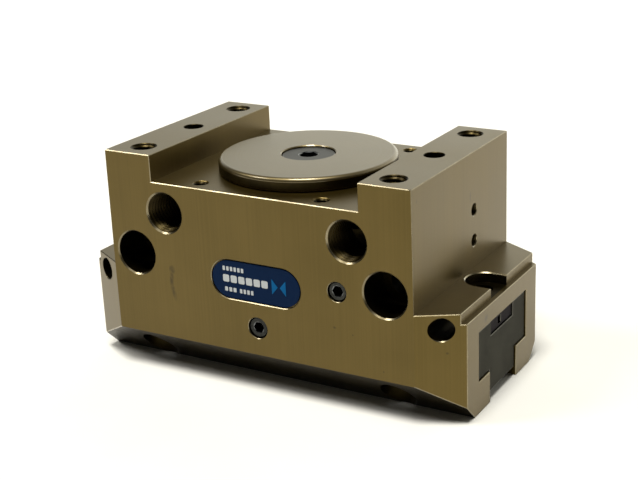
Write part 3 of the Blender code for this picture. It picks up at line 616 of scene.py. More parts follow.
# Steels: dark and pale colour, grain's features per metre, roughness from and to and, where they aren't 1,
# how metallic they are and how strongly they shine at grazing angles
STEELS = {
    "zinc_plated": ((0.044, 0.045, 0.046), (0.082, 0.083, 0.083), 900, (0.36, 0.48)),
    # A darker zinc than the plug's, for the set screws.
    "zinc_darker": ((0.028, 0.029, 0.028), (0.056, 0.057, 0.053), 900, (0.38, 0.5)),
    "zinc_edge": ((0.10, 0.105, 0.11), (0.18, 0.185, 0.19), 1500, (0.25, 0.36)),
    # The socket row is darker zinc for the inside of hex sockets: painted shade.
    "zinc_socket_shade": ((0.010, 0.011, 0.012), (0.022, 0.023, 0.025), 900, (0.4, 0.5)),
    "black_oxide": ((0.022, 0.022, 0.024), (0.05, 0.05, 0.052), 1200, (0.35, 0.5), 0.8),
    "black_oxide_edge": ((0.06, 0.06, 0.065), (0.14, 0.14, 0.15), 1500, (0.3, 0.42)),
    "jaw_dark_ground": ((0.042, 0.041, 0.034), (0.066, 0.064, 0.053), (320, 320, 4200), (0.36, 0.48), 1, 0.5),
    "jaw_edge": ((0.06, 0.058, 0.05), (0.12, 0.115, 0.10), 1800, (0.3, 0.4)),
    # The bore row is darker steel for the holes in the jaws and cams: painted shade.
    "jaw_bore_shade": ((0.012, 0.012, 0.010), (0.022, 0.021, 0.019), (900, 900, 3000), (0.4, 0.5)),
    "cam_dark": ((0.022, 0.020, 0.022), (0.033, 0.030, 0.033), (2200, 500, 500), (0.34, 0.46), 1, 0.5),
    "hardened_ground": ((0.30, 0.30, 0.31), (0.46, 0.46, 0.47), (260, 3600, 3600), (0.24, 0.36)),
    "hardened_edge": ((0.5, 0.5, 0.51), (0.68, 0.68, 0.69), 1500, (0.2, 0.3)),
    "rolled_sheet": ((0.32, 0.32, 0.33), (0.46, 0.46, 0.47), (200, 3000, 3000), (0.3, 0.42)),
    "piston_turned": ((0.5, 0.5, 0.49), (0.68, 0.68, 0.67), (500, 500, 3600), (0.28, 0.4)),
    "piston_edge": ((0.66, 0.66, 0.65), (0.8, 0.8, 0.79), 1500, (0.2, 0.3)),
}


def steel(name, dark, pale, scale, roughness, metallic=1.0, grazing=1.0):
    """Ground, rolled or plated steel, with its grain and slow clouds."""
    paint = Paint(name, metallic, Specular_Tint=(grazing, grazing, grazing, 1.0))
    grain = paint.noise(scale)
    clouds = paint.noise(130, 4.0)
    tone = paint.total((grain, 0.5), (clouds, 0.5))
    colour = paint.mix(paint.spread(tone, 0.38, 0.62), dark, pale)
    return paint.set(colour, paint.spread(tone, 0.35, 0.65, *roughness), grain, strength=0.3)


def rubber(name):
    paint = Paint(name, 0.0)
    grain = paint.noise(5200)
    colour = paint.mix(grain, (0.010, 0.010, 0.011), (0.030, 0.030, 0.031))
    return paint.set(colour, paint.spread(grain, 0.3, 0.7, 0.62, 0.8), grain, 0.00003, 0.4)


def film(name, dark, pale):
    """Printed film: a faint mottle under a dull varnish."""
    paint = Paint(name, 0.0, Specular_IOR_Level=0.05)
    mottle = paint.noise(3000)
    clouds = paint.noise(190)
    colour = paint.mix(paint.total((mottle, 0.5), (clouds, 0.5)), dark, pale)
    return paint.set(colour, paint.spread(mottle, 0.3, 0.7, 0.4, 0.52), mottle, 0.000006, 0.3)


# ---- housing

def half_depth(x):
    """The housing's half depth, which narrows over the slanted corners."""
    beyond = max(0.0, abs(x) - BODY_HALF_LENGTH)
    return HALF_DEPTH - beyond * (HALF_DEPTH - END_HALF_DEPTH) / (HALF_LENGTH - BODY_HALF_LENGTH)


def housing_block():
    """The milled outside: columns of different heights along X, with chamfers along the base."""
    half = [RAIL_INNER_X, BODY_HALF_LENGTH, STEP_X, HALF_LENGTH]
    stations = [-x for x in reversed(half)] + half
    tops = [LEDGE_Z, SHOULDER_Z, RAIL_TOP_Z, FLOOR_Z, RAIL_TOP_Z, SHOULDER_Z, LEDGE_Z]
    shape = bmesh.new()

    def face(points, finish=FACE):
        shape.faces.new([shape.verts.new(point) for point in points]).material_index = finish

    def edge_heights(i, top):
        """The heights up the vertical edge at a station: the chamfer's, a lower neighbour's and the top."""
        near = [tops[j] for j in (i - 1, i) if 0 <= j < len(tops)]
        return [half_depth(stations[i]) - BASE_HALF_DEPTH, *sorted({z for z in near if z < top}), top]

    for i, top in enumerate(tops):
        x0, x1 = stations[i], stations[i + 1]
        y0, y1 = half_depth(x0), half_depth(x1)
        base = BASE_HALF_DEPTH
        face([(x0, -y0, top), (x1, -y1, top), (x1, y1, top), (x0, y0, top)])
        face([(x0, -base, 0), (x0, base, 0), (x1, base, 0), (x1, -base, 0)])
        for side in (-1, 1):
            up = [(x0, side * y0, z) for z in edge_heights(i, top)]
            down = [(x1, side * y1, z) for z in reversed(edge_heights(i + 1, top))]
            face(up + down)
            # The base chamfers take the dark BORE finish: painted shade.
            face([(x0, side * base, 0), up[0], down[-1], (x1, side * base, 0)], BORE)
    for i, (low, high) in enumerate(zip(tops, tops[1:]), start=1):
        x, y = stations[i], half_depth(stations[i])
        face([(x, -y, low), (x, y, low), (x, y, high), (x, -y, high)])
    for x in (stations[0], stations[-1]):
        y = half_depth(x)
        half_section = [(BASE_HALF_DEPTH, 0), (y, y - BASE_HALF_DEPTH), (y, LEDGE_Z)]
        face([(x, y, z) for y, z in half_section] + [(x, -y, z) for y, z in reversed(half_section)])
    bmesh.ops.remove_doubles(shape, verts=shape.verts, dist=1e-4)
    bmesh.ops.recalc_face_normals(shape, faces=shape.faces)
    bmesh.ops.dissolve_limit(shape, angle_limit=math.radians(0.1), verts=shape.verts, edges=shape.edges)
    return shape


def base_screw_places():
    return [(sx * BASE_SCREW_XY[0], sy * BASE_SCREW_XY[1]) for sy in (-1, 1) for sx in (-1, 1)]


def jaw_guide():
    mouth, wide = MOUTH_HALF_WIDTH, SLOT_HALF_WIDTH
    half = [(mouth, -OVERRUN), (mouth, SLOT_LOW_Z), (wide, SLOT_LOW_Z), (wide, SLOT_HIGH_Z)]
    outline = half + [(-y, z) for y, z in reversed(half)]
    return prism(outline, "X", -HALF_LENGTH - OVERRUN, HALF_LENGTH + OVERRUN)


def cylinder():
    groove_r, groove_low, groove_high = ROD_GROOVE
    below = SLOT_HIGH_Z - 2 * GAP
    profile = [(0, below), (ROD_BORE_R, below), (ROD_BORE_R, groove_low), (groove_r, groove_low)]
    profile += [(groove_r, groove_high), (ROD_BORE_R, groove_high), (ROD_BORE_R, BORE_FLOOR_Z)]
    profile += [(BORE_R, BORE_FLOOR_Z), (BORE_R, FLOOR_Z + OVERRUN), (0, FLOOR_Z + OVERRUN)]
    return spun(profile, BORE, segments=96)


def window_notch(side, steps=20):
    """The notch around a cam window: a half circle that runs straight out past the ledge."""
    loops = []
    reach = HALF_LENGTH + OVERRUN
    heights = (LEDGE_Z, LEDGE_Z + GAP, SHOULDER_Z - GAP, SHOULDER_Z, SHOULDER_Z + OVERRUN)
    for z, flare in zip(heights, (0, 0, 0, GAP, GAP)):
        radius = NOTCH_HALF_WIDTH + flare
        outline = arc((NOTCH_X, 0), radius, QUARTER, 3 * QUARTER, steps) + [(reach, -radius), (reach, radius)]
        loops.append([(side * x, y, z) for x, y in outline])
    # The floor and walls take the dark BORE finish: painted shade.
    return loft(loops, [BORE, BORE, EDGE, BORE])


def plate_outline(grow, y, steps=14):
    """The nameplate's round-ended outline, grown by a margin."""
    centre_x, radius = PLATE_HALF_LENGTH - PLATE_RADIUS, PLATE_RADIUS + grow
    outline = arc((centre_x, PLATE_Z), radius, -QUARTER, QUARTER, steps)
    outline += arc((-centre_x, PLATE_Z), radius, QUARTER, 3 * QUARTER, steps)
    return [(x, y, z) for x, z in outline]


def nameplate_pocket():
    lip = PLATE_POCKET_EDGE
    places = ((lip, -OVERRUN), (lip, 0), (0, lip), (0, PLATE_POCKET_DEPTH))
    return loft([plate_outline(grow, depth - HALF_DEPTH) for grow, depth in places], [FACE, EDGE, FACE])


def plain_and_threaded_holes():
    """The holes that cross no other one."""
    shapes = [cylinder(), nameplate_pocket()]
    dowel_r, dowel_depth, dowel_edge = DOWEL_HOLE
    bore_r, bore_depth, bore_edge = SIDE_BORE
    side_bore = [(bore_r, bore_depth), (SIDE_THROUGH_R, 2 * HALF_DEPTH + OVERRUN)]
    for side in SIDES:
        shapes.append(tapped(PORT_THREAD, (side * PORT_XZ[0], -HALF_DEPTH, PORT_XZ[1]), INWARDS))
        mouth = (side * SIDE_BORE_XZ[0], -HALF_DEPTH, SIDE_BORE_XZ[1])
        shapes.append(drill(side_bore, mouth, INWARDS, bore_edge, ROUND))
        mouth = (side * MOUNT_XY[0], 0, RAIL_TOP_Z)
        # The dowel hole's mouth takes the dark BORE finish: painted shade.
        shapes.append(drill([(dowel_r, dowel_depth)], mouth, DOWN, dowel_edge, lip=BORE))
        shapes.append(window_notch(side))
        for z in END_THREAD_Z:
            mouth = (side * BODY_HALF_LENGTH, side * END_THREAD_Y, z)
            shapes.append(tapped(END_THREAD, mouth, (-side, 0, 0), lead_in=1.0))
        for end in (-1, 1):
            mouth = (side * FLOOR_THREAD_XY[0], end * FLOOR_THREAD_XY[1], FLOOR_Z)
            shapes.append(tapped(FLOOR_THREAD, mouth, DOWN, lead_in=1.0, lip=FACE))
    for _, x, z, radius, reach in SET_SCREWS:
        hole = [(radius, SET_SCREW_HOLE_DEPTH), (CROSS_BORE_R, reach)]
        shapes.append(drill(hole, (x, -HALF_DEPTH, z), INWARDS, radius + GAP / 2))
    hole = [(BASE_SCREW_SHANK_R + GAP, BASE_SCREW_Z[2] + BASE_SCREW_ROOM)]
    shapes += [drill(hole, (x, y, 0), UP, segments=THIN_ROUND) for x, y in base_screw_places()]
    return shapes


def crossing_holes():
    """The holes that open into one made before: mounting holes, air channels and cam windows."""
    shapes = []
    head_r, head_z = MOUNT_COUNTERBORE
    below = [(MOUNT_THREAD[0], RAIL_TOP_Z - head_z), (head_r, RAIL_TOP_Z + OVERRUN)]
    for side in SIDES:
        for end in (-1, 1):
            mouth = (side * MOUNT_XY[0], end * MOUNT_XY[1], RAIL_TOP_Z)
            # The mounting holes' mouths take the dark BORE finish: painted shade.
            shapes.append(tapped(MOUNT_THREAD, mouth, DOWN, below, lip=BORE))
        port_floor = PORT_THREAD[3] - HALF_DEPTH
        start = Vector((side * PORT_XZ[0], port_floor - PORT_CHANNEL_LEAD, PORT_XZ[1]))
        along = Vector(CHANNEL_MOUTHS[side]) - start
        channel = [(0, 0), (PORT_CHANNEL_R, 0), (PORT_CHANNEL_R, along.length), (0, along.length)]
        shapes.append(spun(channel, BORE, start, along, THIN_ROUND))
        window = [(CAM_WINDOW_R, LEDGE_Z - SLOT_HIGH_Z + OVERRUN)]
        shapes.append(drill(window, (side * CAM_WINDOW_X, 0, LEDGE_Z), DOWN, pointed=False))
        shapes.append(sensor_mouth(side))
    return shapes


def corner_normal(side):
    """The way that the slanted front corner faces."""
    return Vector((side * (HALF_DEPTH - END_HALF_DEPTH), BODY_HALF_LENGTH - HALF_LENGTH, 0)).normalized()


def sensor_mouth(side):
    """The broken edge around a sensor bore."""
    radius, _, mouth_r = SENSOR_BORE
    x, z = SENSOR_BORE_XZ
    depth, proud = mouth_r - radius, 1.0
    centre = (side * x, -half_depth(x), z)
    cone = [(0, -proud), (mouth_r + proud, -proud), (mouth_r, 0), (radius, depth), (0, depth)]
    return spun(cone, EDGE, centre, -corner_normal(side), HOLE_ROUND)


def sensor_bores():
    x, z = SENSOR_BORE_XZ
    radius, reach, _ = SENSOR_BORE
    return [drill([(radius, reach)], (side * x, -HALF_DEPTH, z), INWARDS, pointed=False) for side in SIDES]


def corner_chip():
    """A small dent where the right rail's top, front and end meet."""
    shape = block((-CHIP_SIZE,) * 3, (CHIP_SIZE,) * 3, EDGE)
    bmesh.ops.rotate(shape, cent=(0, 0, 0), matrix=Euler(CHIP_TURN).to_matrix(), verts=shape.verts)
    corner = Vector((BODY_HALF_LENGTH, -HALF_DEPTH, RAIL_TOP_Z))
    bmesh.ops.translate(shape, vec=corner + CHIP_OFFSET, verts=shape.verts)
    return shape


def make_housing(finishes):
    housing = mesh_object("housing_milled", housing_block(), finishes)
    carve(housing, [jaw_guide()])
    length, width, _, high = BASE_PLATE
    pocket = block((-length - GAP, -width - GAP, -OVERRUN), (length + GAP, width + GAP, high + GAP))
    carve(housing, [pocket])
    length, width, top = HOOK_RELIEF
    carve(housing, [block((-length, -width, SLOT_HIGH_Z - OVERRUN), (length, width, top))])
    break_edges(housing, EDGE_BREAK, least_angle=50, segments=1)
    carve(housing, plain_and_threaded_holes())
    carve(housing, crossing_holes())
    carve(housing, sensor_bores() + [corner_chip()])
    fitted(housing, "housing_body", "anodised_aluminium", "housing")


# ---- cover, screws and nameplate

def make_seal(node, body, material, squeeze=1.0):
    """A ring of round section in the CAD ring's box. The squeeze scales the section across its wall."""
    low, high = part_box(node)
    outer_r, half_height = high.x / MM, (high.z - low.z) / 2 / MM
    middle_r = outer_r - half_height * squeeze
    loops = []
    for i in range(16):
        angle = math.tau * i / 16
        radius = middle_r + half_height * squeeze * math.cos(angle)
        loops.append((radius, (low.z + high.z) / 2 / MM + half_height * math.sin(angle), FACE))
    seal = mesh_object(f"{node}_round", lathe(loops, ring=True), [material])
    fitted(seal, body, "seal_rubber", node)


def groove(wall_r, place):
    """A ring groove in a turned piece's wall, from its low corner to its high one."""
    radius, low, high = place
    return [(wall_r, low, FACE), (radius, low, FACE), (radius, high, FACE), (wall_r, high, FACE)]


def foot(radius, low, size):
    """The outer stretch of a low face, and the chamfer around it."""
    return [(radius - size, low, FACE), (radius, low + size, EDGE)]


def rim(radius, top, size, steps=6):
    """A quarter round from a wall up to a top face."""
    return [(*point, EDGE) for point in arc((radius - size, top - size), size, 0, QUARTER, steps)]


def make_cover(finishes, seal):
    flange_low = FLOOR_Z + GAP
    inner_r = PLUG_SHANK_R + GAP
    head_r = PLUG_HEAD_R + GAP / 2
    profile = [
        (inner_r, SKIRT_LOW_Z, FACE),
        *foot(SKIRT_R, SKIRT_LOW_Z, TURNED_EDGE),
        *groove(SKIRT_R, COVER_GROOVE),
        (SKIRT_R, flange_low, FACE),
        *foot(COVER_R, flange_low, FINE_EDGE),
        # The side wall under the rim takes the dark BORE finish: painted shade.
        (COVER_R, COVER_TOP_Z - COVER_RIM, BORE),
        *rim(COVER_R, COVER_TOP_Z, COVER_RIM)[1:],
        (head_r + SEAT_EDGE, COVER_TOP_Z, FACE),
        (head_r, COVER_TOP_Z - SEAT_EDGE, EDGE),
        (head_r, PLUG_SEAT_Z, FACE),
        (inner_r, PLUG_SEAT_Z, FACE),
    ]
    cover = mesh_object("cylinder_cover_turned", lathe(profile, segments=128, ring=True), finishes)
    fitted(cover, "housing_body", "cover_aluminium", "cylinder_cover")
    make_seal("cover_oring", "housing_body", seal)


def make_cover_plug(finishes, seal):
    countersink_r = PLUG_FLATS / math.sqrt(3) + 0.15
    profile = [
        (0, PLUG_LOW_Z, FACE),
        *foot(PLUG_SHANK_R, PLUG_LOW_Z, TURNED_EDGE),
        *groove(PLUG_SHANK_R, PLUG_GROOVE),
        (PLUG_SHANK_R, PLUG_SEAT_Z + GAP, FACE),
        (PLUG_HEAD_R, PLUG_SEAT_Z + GAP, FACE),
        *rim(PLUG_HEAD_R, PLUG_TOP_Z, PLUG_RIM, 4),
        (countersink_r, PLUG_TOP_Z, FACE),
        (0, PLUG_TOP_Z - 0.5 * countersink_r, EDGE),
    ]
    plug = mesh_object("cover_plug_turned", lathe(profile), finishes)
    carve(plug, [hex_socket(PLUG_FLATS, (0, 0, PLUG_TOP_Z), DOWN, PLUG_SOCKET_DEPTH)])
    fitted(plug, "housing_body", "zinc_steel", "cover_plug")
    make_seal("cover_plug_oring", "housing_body", seal, 0.6)


def make_set_screws(finishes):
    face_edge, tip_edge = SET_SCREW_EDGES
    for name, x, z, hole_r, _ in SET_SCREWS:
        radius = hole_r - GAP / 2
        countersink_r = SET_SCREW_FLATS / math.sqrt(3) + 0.05
        profile = [
            (0, 0.5 * countersink_r, EDGE),
            (countersink_r, 0, EDGE),
            (radius - face_edge, 0, FACE),
            (radius, face_edge, EDGE),
            (radius, SET_SCREW_LENGTH - tip_edge, FACE),
            (radius - tip_edge, SET_SCREW_LENGTH, EDGE),
            (0, SET_SCREW_LENGTH, FACE),
        ]
        face = (x, SET_SCREW_RECESS - HALF_DEPTH, z)
        socket = (SET_SCREW_FLATS, face, INWARDS, SET_SCREW_FLATS)
        make_screw(name, "housing_body", "zinc_steel", lathe(profile, face, INWARDS), finishes, *socket)


def printed_block(x, z, half_width, half_height, face_y, steps=3):
    """A flat rectangle with rounded corners on the nameplate."""
    radius = 0.4 * min(half_width, half_height)
    outline = []
    for i, (sx, sz) in enumerate(((1, 1), (-1, 1), (-1, -1), (1, -1))):
        centre = (x + sx * (half_width - radius), z + sz * (half_height - radius))
        outline += arc(centre, radius, i * QUARTER, (i + 1) * QUARTER, steps)
    return prism(outline, "Y", face_y - PRINT_THICKNESS, face_y)


def make_nameplate(film_blue, film_white, film_sky):
    low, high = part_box("nameplate")
    front, back = low.y / MM, high.y / MM
    across, deep = PLATE_EDGE
    places = ((-GAP - across, front), (-GAP, front + deep), (-GAP, back))
    shape = loft([plate_outline(grow, y) for grow, y in places])
    plate = mesh_object("nameplate_film", shape, [film_blue])
    fitted(plate, "housing_body", "nameplate_blue", "nameplate")

    print_y = front - GAP / 10
    marks = []
    for x, z, width, height, pitch, count in PLATE_ROWS:
        for i in range(count):
            marks.append(printed_block(x + i * pitch, PLATE_Z + z, width / 2, height / 2, print_y))
    rows = mesh_object("nameplate_rows", merged(marks), [film_white])
    jaws = []
    for side in (-1, 1):
        tip, heel = SYMBOL_X + SYMBOL_GAP * side, SYMBOL_X + SYMBOL_HALF * side
        triangle = [(tip, PLATE_Z), (heel, PLATE_Z - SYMBOL_HALF), (heel, PLATE_Z + SYMBOL_HALF)]
        jaws.append(prism(triangle, "Y", print_y - PRINT_THICKNESS, print_y))
    symbol = mesh_object("nameplate_symbol", merged(jaws), [film_sky])
    for piece in (rows, symbol):
        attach(piece, "housing_body")


def make_base_cover(plate_finishes, screw_finishes):
    length, width, low, high = BASE_PLATE
    plate = block((-length, -width, low), (length, width, high))
    plate = mesh_object("base_cover_plate_milled", plate, plate_finishes)
    break_edges(plate, BASE_PLATE_EDGE)
    face_z, cone_z, tip_z = BASE_SCREW_Z
    head_r, shank_r = BASE_SCREW_HEAD_R, BASE_SCREW_SHANK_R
    edge, tip = BASE_SCREW_EDGES
    hole = [(0, -OVERRUN), (head_r + GAP, -OVERRUN), (head_r + GAP, face_z), (shank_r + GAP, cone_z)]
    hole += [(shank_r + GAP, high + OVERRUN), (0, high + OVERRUN)]
    carve(plate, [spun(hole, EDGE, (x, y, 0), segments=SCREW_ROUND) for x, y in base_screw_places()])
    fitted(plate, "housing_body", "cover_steel", "base_cover_plate")
    profile = [(0, face_z), (head_r - edge, face_z), (head_r, face_z + edge), (head_r, face_z + 2 * edge)]
    profile += [(shank_r, cone_z), (shank_r, tip_z - tip), (shank_r - tip, tip_z), (0, tip_z)]
    flats, depth = BASE_SOCKET
    for i, (x, y) in enumerate(base_screw_places(), start=1):
        name, socket = f"base_cover_screw_{i}", (flats, (x, y, face_z), UP, depth)
        screw = spun(profile, FACE, (x, y, 0), segments=SCREW_ROUND)
        make_screw(name, "housing_body", "black_steel", screw, screw_finishes, *socket)


# ---- piston and jaws

def make_piston(finishes, seal):
    head_r = PISTON_COUNTERBORE_R
    profile = [
        (PISTON_HOLE_R, PISTON_LOW_Z, FACE),
        *foot(PISTON_R, PISTON_LOW_Z, PISTON_LOW_EDGE),
        *groove(PISTON_R, PISTON_GROOVE),
        (PISTON_R, PISTON_HIGH_Z - PISTON_EDGE, FACE),
        (PISTON_R - PISTON_EDGE, PISTON_HIGH_Z, EDGE),
        (head_r + FINE_EDGE, PISTON_HIGH_Z, FACE),
        (head_r, PISTON_HIGH_Z - FINE_EDGE, EDGE),
        (head_r, HEAD_SEAT_Z, FACE),
        (PISTON_HOLE_R, HEAD_SEAT_Z, FACE),
    ]
    piston = mesh_object("piston_turned", lathe(profile, segments=96, ring=True), finishes)
    fitted(piston, "piston_body", "piston_aluminium", "piston")
    make_seal("piston_seal", "piston_body", seal, 0.98)
    make_seal("rod_seal", "housing_body", seal, 0.9)


def make_piston_screw(finishes):
    seat, top = HEAD_SEAT_Z + GAP, PISTON_HIGH_Z - GAP
    profile = [
        (0, SCREW_LOW_Z, FACE),
        *foot(SCREW_SHANK_R, SCREW_LOW_Z, TURNED_EDGE),
        (SCREW_SHANK_R, seat, FACE),
        (SCREW_HEAD_R, seat, FACE),
        *rim(SCREW_HEAD_R, top, SCREW_HEAD_RIM, 4),
        (0, top, FACE),
    ]
    socket = (SCREW_FLATS, (0, 0, top), DOWN, SCREW_SOCKET_DEPTH)
    make_screw("piston_screw", "piston_body", "black_steel", lathe(profile), finishes, *socket)


def make_wedge_hook(finishes):
    """The CAD hook with rounded edges."""
    shape = bmesh.new()
    shape.from_mesh(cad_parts["wedge_hook"].data)
    bmesh.ops.remove_doubles(shape, verts=shape.verts, dist=1e-7)
    bmesh.ops.scale(shape, vec=(1 / MM,) * 3, verts=shape.verts)
    for face in shape.faces:
        face.material_index = FACE
    hook = mesh_object("wedge_hook_ground", shape, finishes)
    break_edges(hook, HOOK_EDGE, least_angle=30)
    fitted(hook, "piston_body", "hardened_steel", "wedge_hook")


def flank_x(z, depth=0.0):
    """Half length of the hook at a height, plus a depth square to its sloping flank."""
    return HOOK_LOW_HALF_LENGTH + HOOK_SLOPE * (z - HOOK_LOW_Z) + depth * math.hypot(1, HOOK_SLOPE)


def sloping_band(side, depths, heights, half_width):
    """A bar that follows the hook's flank, between two depths from it."""
    (near, far), (low, high) = depths, heights
    outline = [(near, low), (far, low), (far, high), (near, high)]
    return prism([(side * flank_x(z, depth), z) for depth, z in outline], "Y", -half_width, half_width)


def jaw_bar(side):
    """The jaw's T-section, cut off square outside and along the hook's slope inside."""
    half = [(STEM_HALF_WIDTH, JAW_LOW_Z), (STEM_HALF_WIDTH, JAW_SHOULDER_Z)]
    half += [(JAW_HALF_WIDTH, JAW_SHOULDER_Z), (JAW_HALF_WIDTH, JAW_HIGH_Z)]
    section = half + [(-y, z) for y, z in reversed(half)]
    inner = [(side * flank_x(z, GAP), y, z) for y, z in section]
    outer = [(side * JAW_END_X, y, z) for y, z in section]
    return loft([inner, outer])


def make_jaw(side, finishes):
    hand = SIDES[side]
    jaw = mesh_object(f"jaw_{hand}_ground", jaw_bar(side), finishes)
    heights = (JAW_LOW_Z - OVERRUN, JAW_HIGH_Z + OVERRUN)
    carve(jaw, [sloping_band(side, (-OVERRUN, NECK_DEPTH), heights, NECK_HALF_WIDTH + GAP)])
    depths = (NECK_DEPTH - GAP, FLANGE_DEPTH + GAP)
    carve(jaw, [sloping_band(side, depths, heights, HOOK_HALF_WIDTH + GAP)])
    inner_x, half_width, floor_z = CAM_POCKET
    outer_corner = (side * (JAW_END_X + OVERRUN), half_width, JAW_HIGH_Z + OVERRUN)
    carve(jaw, [block((side * inner_x, -half_width, floor_z), outer_corner)])
    break_edges(jaw, JAW_EDGE)
    centring_r, centring_z = FINGER_CENTRING
    centring = [(centring_r, centring_z - JAW_LOW_Z)]
    mouths = [(side * x, 0, JAW_LOW_Z) for x in FINGER_THREAD_X]
    carve(jaw, [drill(centring, mouth, UP, centring_r + GAP, pointed=False) for mouth in mouths])
    mouths = [(side * x, 0, centring_z - OVERLAP) for x in FINGER_THREAD_X]
    carve(jaw, [tapped(FINGER_THREAD, mouth, UP, lead_in=1.0) for mouth in mouths])
    hole = [(CAM_SHANK_R + GAP, floor_z - CAM_SCREW_Z[0] + GAP)]
    carve(jaw, [drill(hole, (side * CAM_WINDOW_X, 0, floor_z), DOWN, segments=THIN_ROUND)])
    fitted(jaw, f"jaw_{hand}_body", "jaw_steel", f"jaw_{hand}")


def make_switch_cam(side, finishes, screw_finishes):
    """The block over a jaw's pocket that a proximity switch reads, and the screw that holds it."""
    hand, body = SIDES[side], f"jaw_{SIDES[side]}_body"
    tip_z, seat_z, head_z = CAM_SCREW_Z
    screw_x = side * CAM_WINDOW_X
    (low_x, high_x), (low_z, high_z) = CAM_X, CAM_Z
    shape = block((side * low_x, -CAM_HALF_WIDTH, low_z), (side * high_x, CAM_HALF_WIDTH, high_z))
    cam = mesh_object(f"switch_cam_{hand}_milled", shape, finishes)
    carve(cam, [block(*((side * x, side * y, z) for x, y, z in CAM_NOTCH))])
    break_edges(cam, CAM_EDGE)
    hole_r, head_hole_r, head_floor = CAM_SHANK_R + GAP, CAM_HEAD_R + GAP, seat_z - GAP
    mouth_r, below, beyond = head_hole_r + GAP, low_z - OVERRUN, high_z + OVERRUN
    steps = [(0, below), (hole_r, below), (hole_r, head_floor), (head_hole_r, head_floor)]
    steps += [(head_hole_r, high_z - GAP), (mouth_r, high_z), (mouth_r, beyond), (0, beyond)]
    carve(cam, [spun(steps, EDGE, (screw_x, 0, 0), segments=SCREW_ROUND)])
    fitted(cam, body, "cam_steel", f"switch_cam_{hand}")

    profile = [(0, tip_z, FACE), (CAM_SHANK_R, tip_z, FACE), (CAM_SHANK_R, seat_z, FACE)]
    profile += [(CAM_HEAD_R, seat_z, FACE), *rim(CAM_HEAD_R, head_z, CAM_HEAD_RIM, 4), (0, head_z, FACE)]
    screw = lathe(profile, (screw_x, 0, 0), segments=SCREW_ROUND)
    flats, depth = CAM_SOCKET
    socket = (flats, (screw_x, 0, head_z), DOWN, depth)
    make_screw(f"switch_cam_screw_{hand}", body, "black_steel", screw, screw_finishes, *socket)


# ---- studio

CAMERA_PLACE = (0.19197, -0.31175, 0.16716)
CAMERA_TURN = (71.1531, 1.4411, 27.7696)  # degrees
CAMERA_LENS = 72.35
CAMERA_SHIFT = (-0.1003, -0.0313)
GROUND_HALF = 8.0  # metres
GROUND_Z = -0.02  # just under the base
# Direction that the light comes from, its width in degrees, strength and tint
SUNS = {
    "overhead_softbox": ((0.03, -0.23, 1.0), 22.0, 3.15, (1.0, 0.99, 0.93)),
    "left_softbox": ((-0.56, -0.335, 0.755), 18.0, 1.05, (1.0, 0.98, 0.92)),
}
SURROUNDINGS_MEAN = 0.20
SURROUNDINGS_SLOPE = (0.25, 1.62, -0.90)
SURROUNDINGS_LEAST = 0.05
SURROUNDINGS_TINT = (1.0, 0.995, 0.88, 1.0)


def make_camera():
    data = bpy.data.cameras.new("camera")
    data.lens = CAMERA_LENS
    data.sensor_width = 36.0
    data.shift_x, data.shift_y = CAMERA_SHIFT
    data.clip_start = 0.01
    camera = bpy.data.objects.new("camera", data)
    camera.location = CAMERA_PLACE
    camera.rotation_euler = [math.radians(angle) for angle in CAMERA_TURN]
    bpy.context.scene.collection.objects.link(camera)
    bpy.context.scene.camera = camera


def make_floor():
    shape = bmesh.new()
    half = GROUND_HALF / MM
    corners = [(-half, -half), (half, -half), (half, half), (-half, half)]
    shape.faces.new([shape.verts.new((x, y, GROUND_Z)) for x, y in corners])
    paint = Paint("pale_floor", 0.0, Roughness=0.75, Specular_IOR_Level=0.2)
    colour = paint.mix(paint.noise(40), (0.85, 0.835, 0.795), (0.89, 0.875, 0.84))
    floor = mesh_object("floor", shape, [paint.set(colour)])


def add_sun(name, direction, angle, strength, tint):
    """A broad light, even over the whole floor."""
    data = bpy.data.lights.new(name, "SUN")
    data.angle = math.radians(angle)
    data.energy = strength
    data.color = tint
    light = bpy.data.objects.new(name, data)
    light.rotation_euler = Vector(direction).to_track_quat("Z", "Y").to_euler()
    bpy.context.scene.collection.objects.link(light)


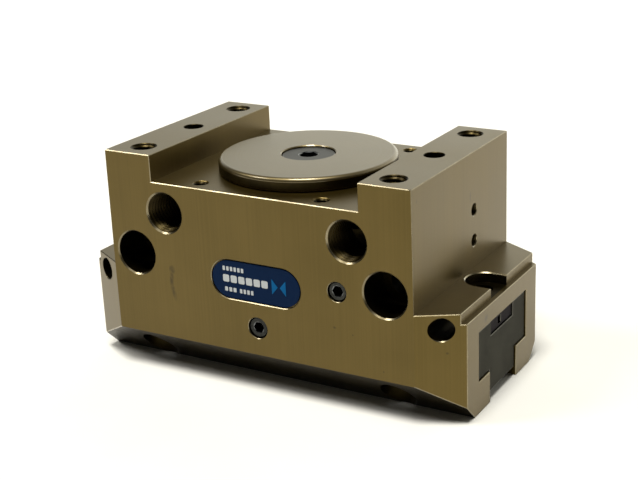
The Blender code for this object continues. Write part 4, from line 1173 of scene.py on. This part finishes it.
def make_world():
    """Soft surroundings: bright behind and to the right, dim at the front left."""
    world = bpy.data.worlds.new("surroundings")
    world.use_nodes = True
    bpy.context.scene.world = world
    nodes = Wiring(world.node_tree)
    direction = nodes.node("ShaderNodeTexCoord").outputs["Generated"]
    slope = nodes.node("ShaderNodeVectorMath", {0: direction, 1: SURROUNDINGS_SLOPE}, operation="DOT_PRODUCT")
    level = nodes.math("ADD", slope.outputs["Value"], SURROUNDINGS_MEAN)
    level = nodes.math("MAXIMUM", level, SURROUNDINGS_LEAST)
    background = nodes.tree.nodes["Background"].inputs
    nodes.tree.links.new(level, background["Strength"])
    background["Color"].default_value = SURROUNDINGS_TINT


def make_studio():
    make_camera()
    make_floor()
    make_world()
    for name, light in SUNS.items():
        add_sun(name, *light)
    bpy.context.scene.view_settings.view_transform = "Standard"


# ---- the whole

def main():
    make_studio()
    edge_sheen_and_wear = anodised_edge("anodised_edge")
    # Darker anodised metal for the BORE place: painted shade
    bore_shade = shaded_bore("anodised_bore_shade")
    turned = turned_anodised("anodised_turned", ANODISED_DARK, ANODISED_PALE, 0.28)
    # The rim's copy is paler, more neutral and glossier, so its highlights come out cream: painted highlight
    # colour.
    turned_rim = turned_anodised("anodised_turned_rim", (0.15, 0.115, 0.052), (0.20, 0.16, 0.085), 0.12)
    seal = rubber("seal_rubber")
    steels = {name: steel(name, *look) for name, look in STEELS.items()}

    def finishes(face, edge, bore=None):
        """Steel finishes in the order of FACE, EDGE and BORE, the last like the first unless it is given."""
        return [steels[name] for name in (face, edge, bore or face)]

    make_housing([anodised("anodised_milled"), edge_sheen_and_wear, bore_shade])
    make_cover([turned, turned_rim, bore_shade], seal)
    make_cover_plug(finishes("zinc_plated", "zinc_edge", "zinc_socket_shade"), seal)
    make_set_screws(finishes("zinc_darker", "zinc_edge", "zinc_socket_shade"))
    make_nameplate(
        film("film_navy", (0.001, 0.010, 0.038), (0.002, 0.015, 0.056)),
        film("film_white", (0.44, 0.47, 0.49), (0.55, 0.58, 0.60)),
        film("film_sky", (0.002, 0.075, 0.22), (0.004, 0.115, 0.30)),
    )
    black = finishes("black_oxide", "black_oxide_edge")
    make_base_cover(finishes("rolled_sheet", "hardened_edge"), black)
    make_piston(finishes("piston_turned", "piston_edge"), seal)
    make_piston_screw(black)
    make_wedge_hook(finishes("hardened_ground", "hardened_edge"))
    for side in SIDES:
        make_jaw(side, finishes("jaw_dark_ground", "jaw_edge", "jaw_bore_shade"))
        make_switch_cam(side, finishes("cam_dark", "jaw_edge", "jaw_bore_shade"), black)


main()
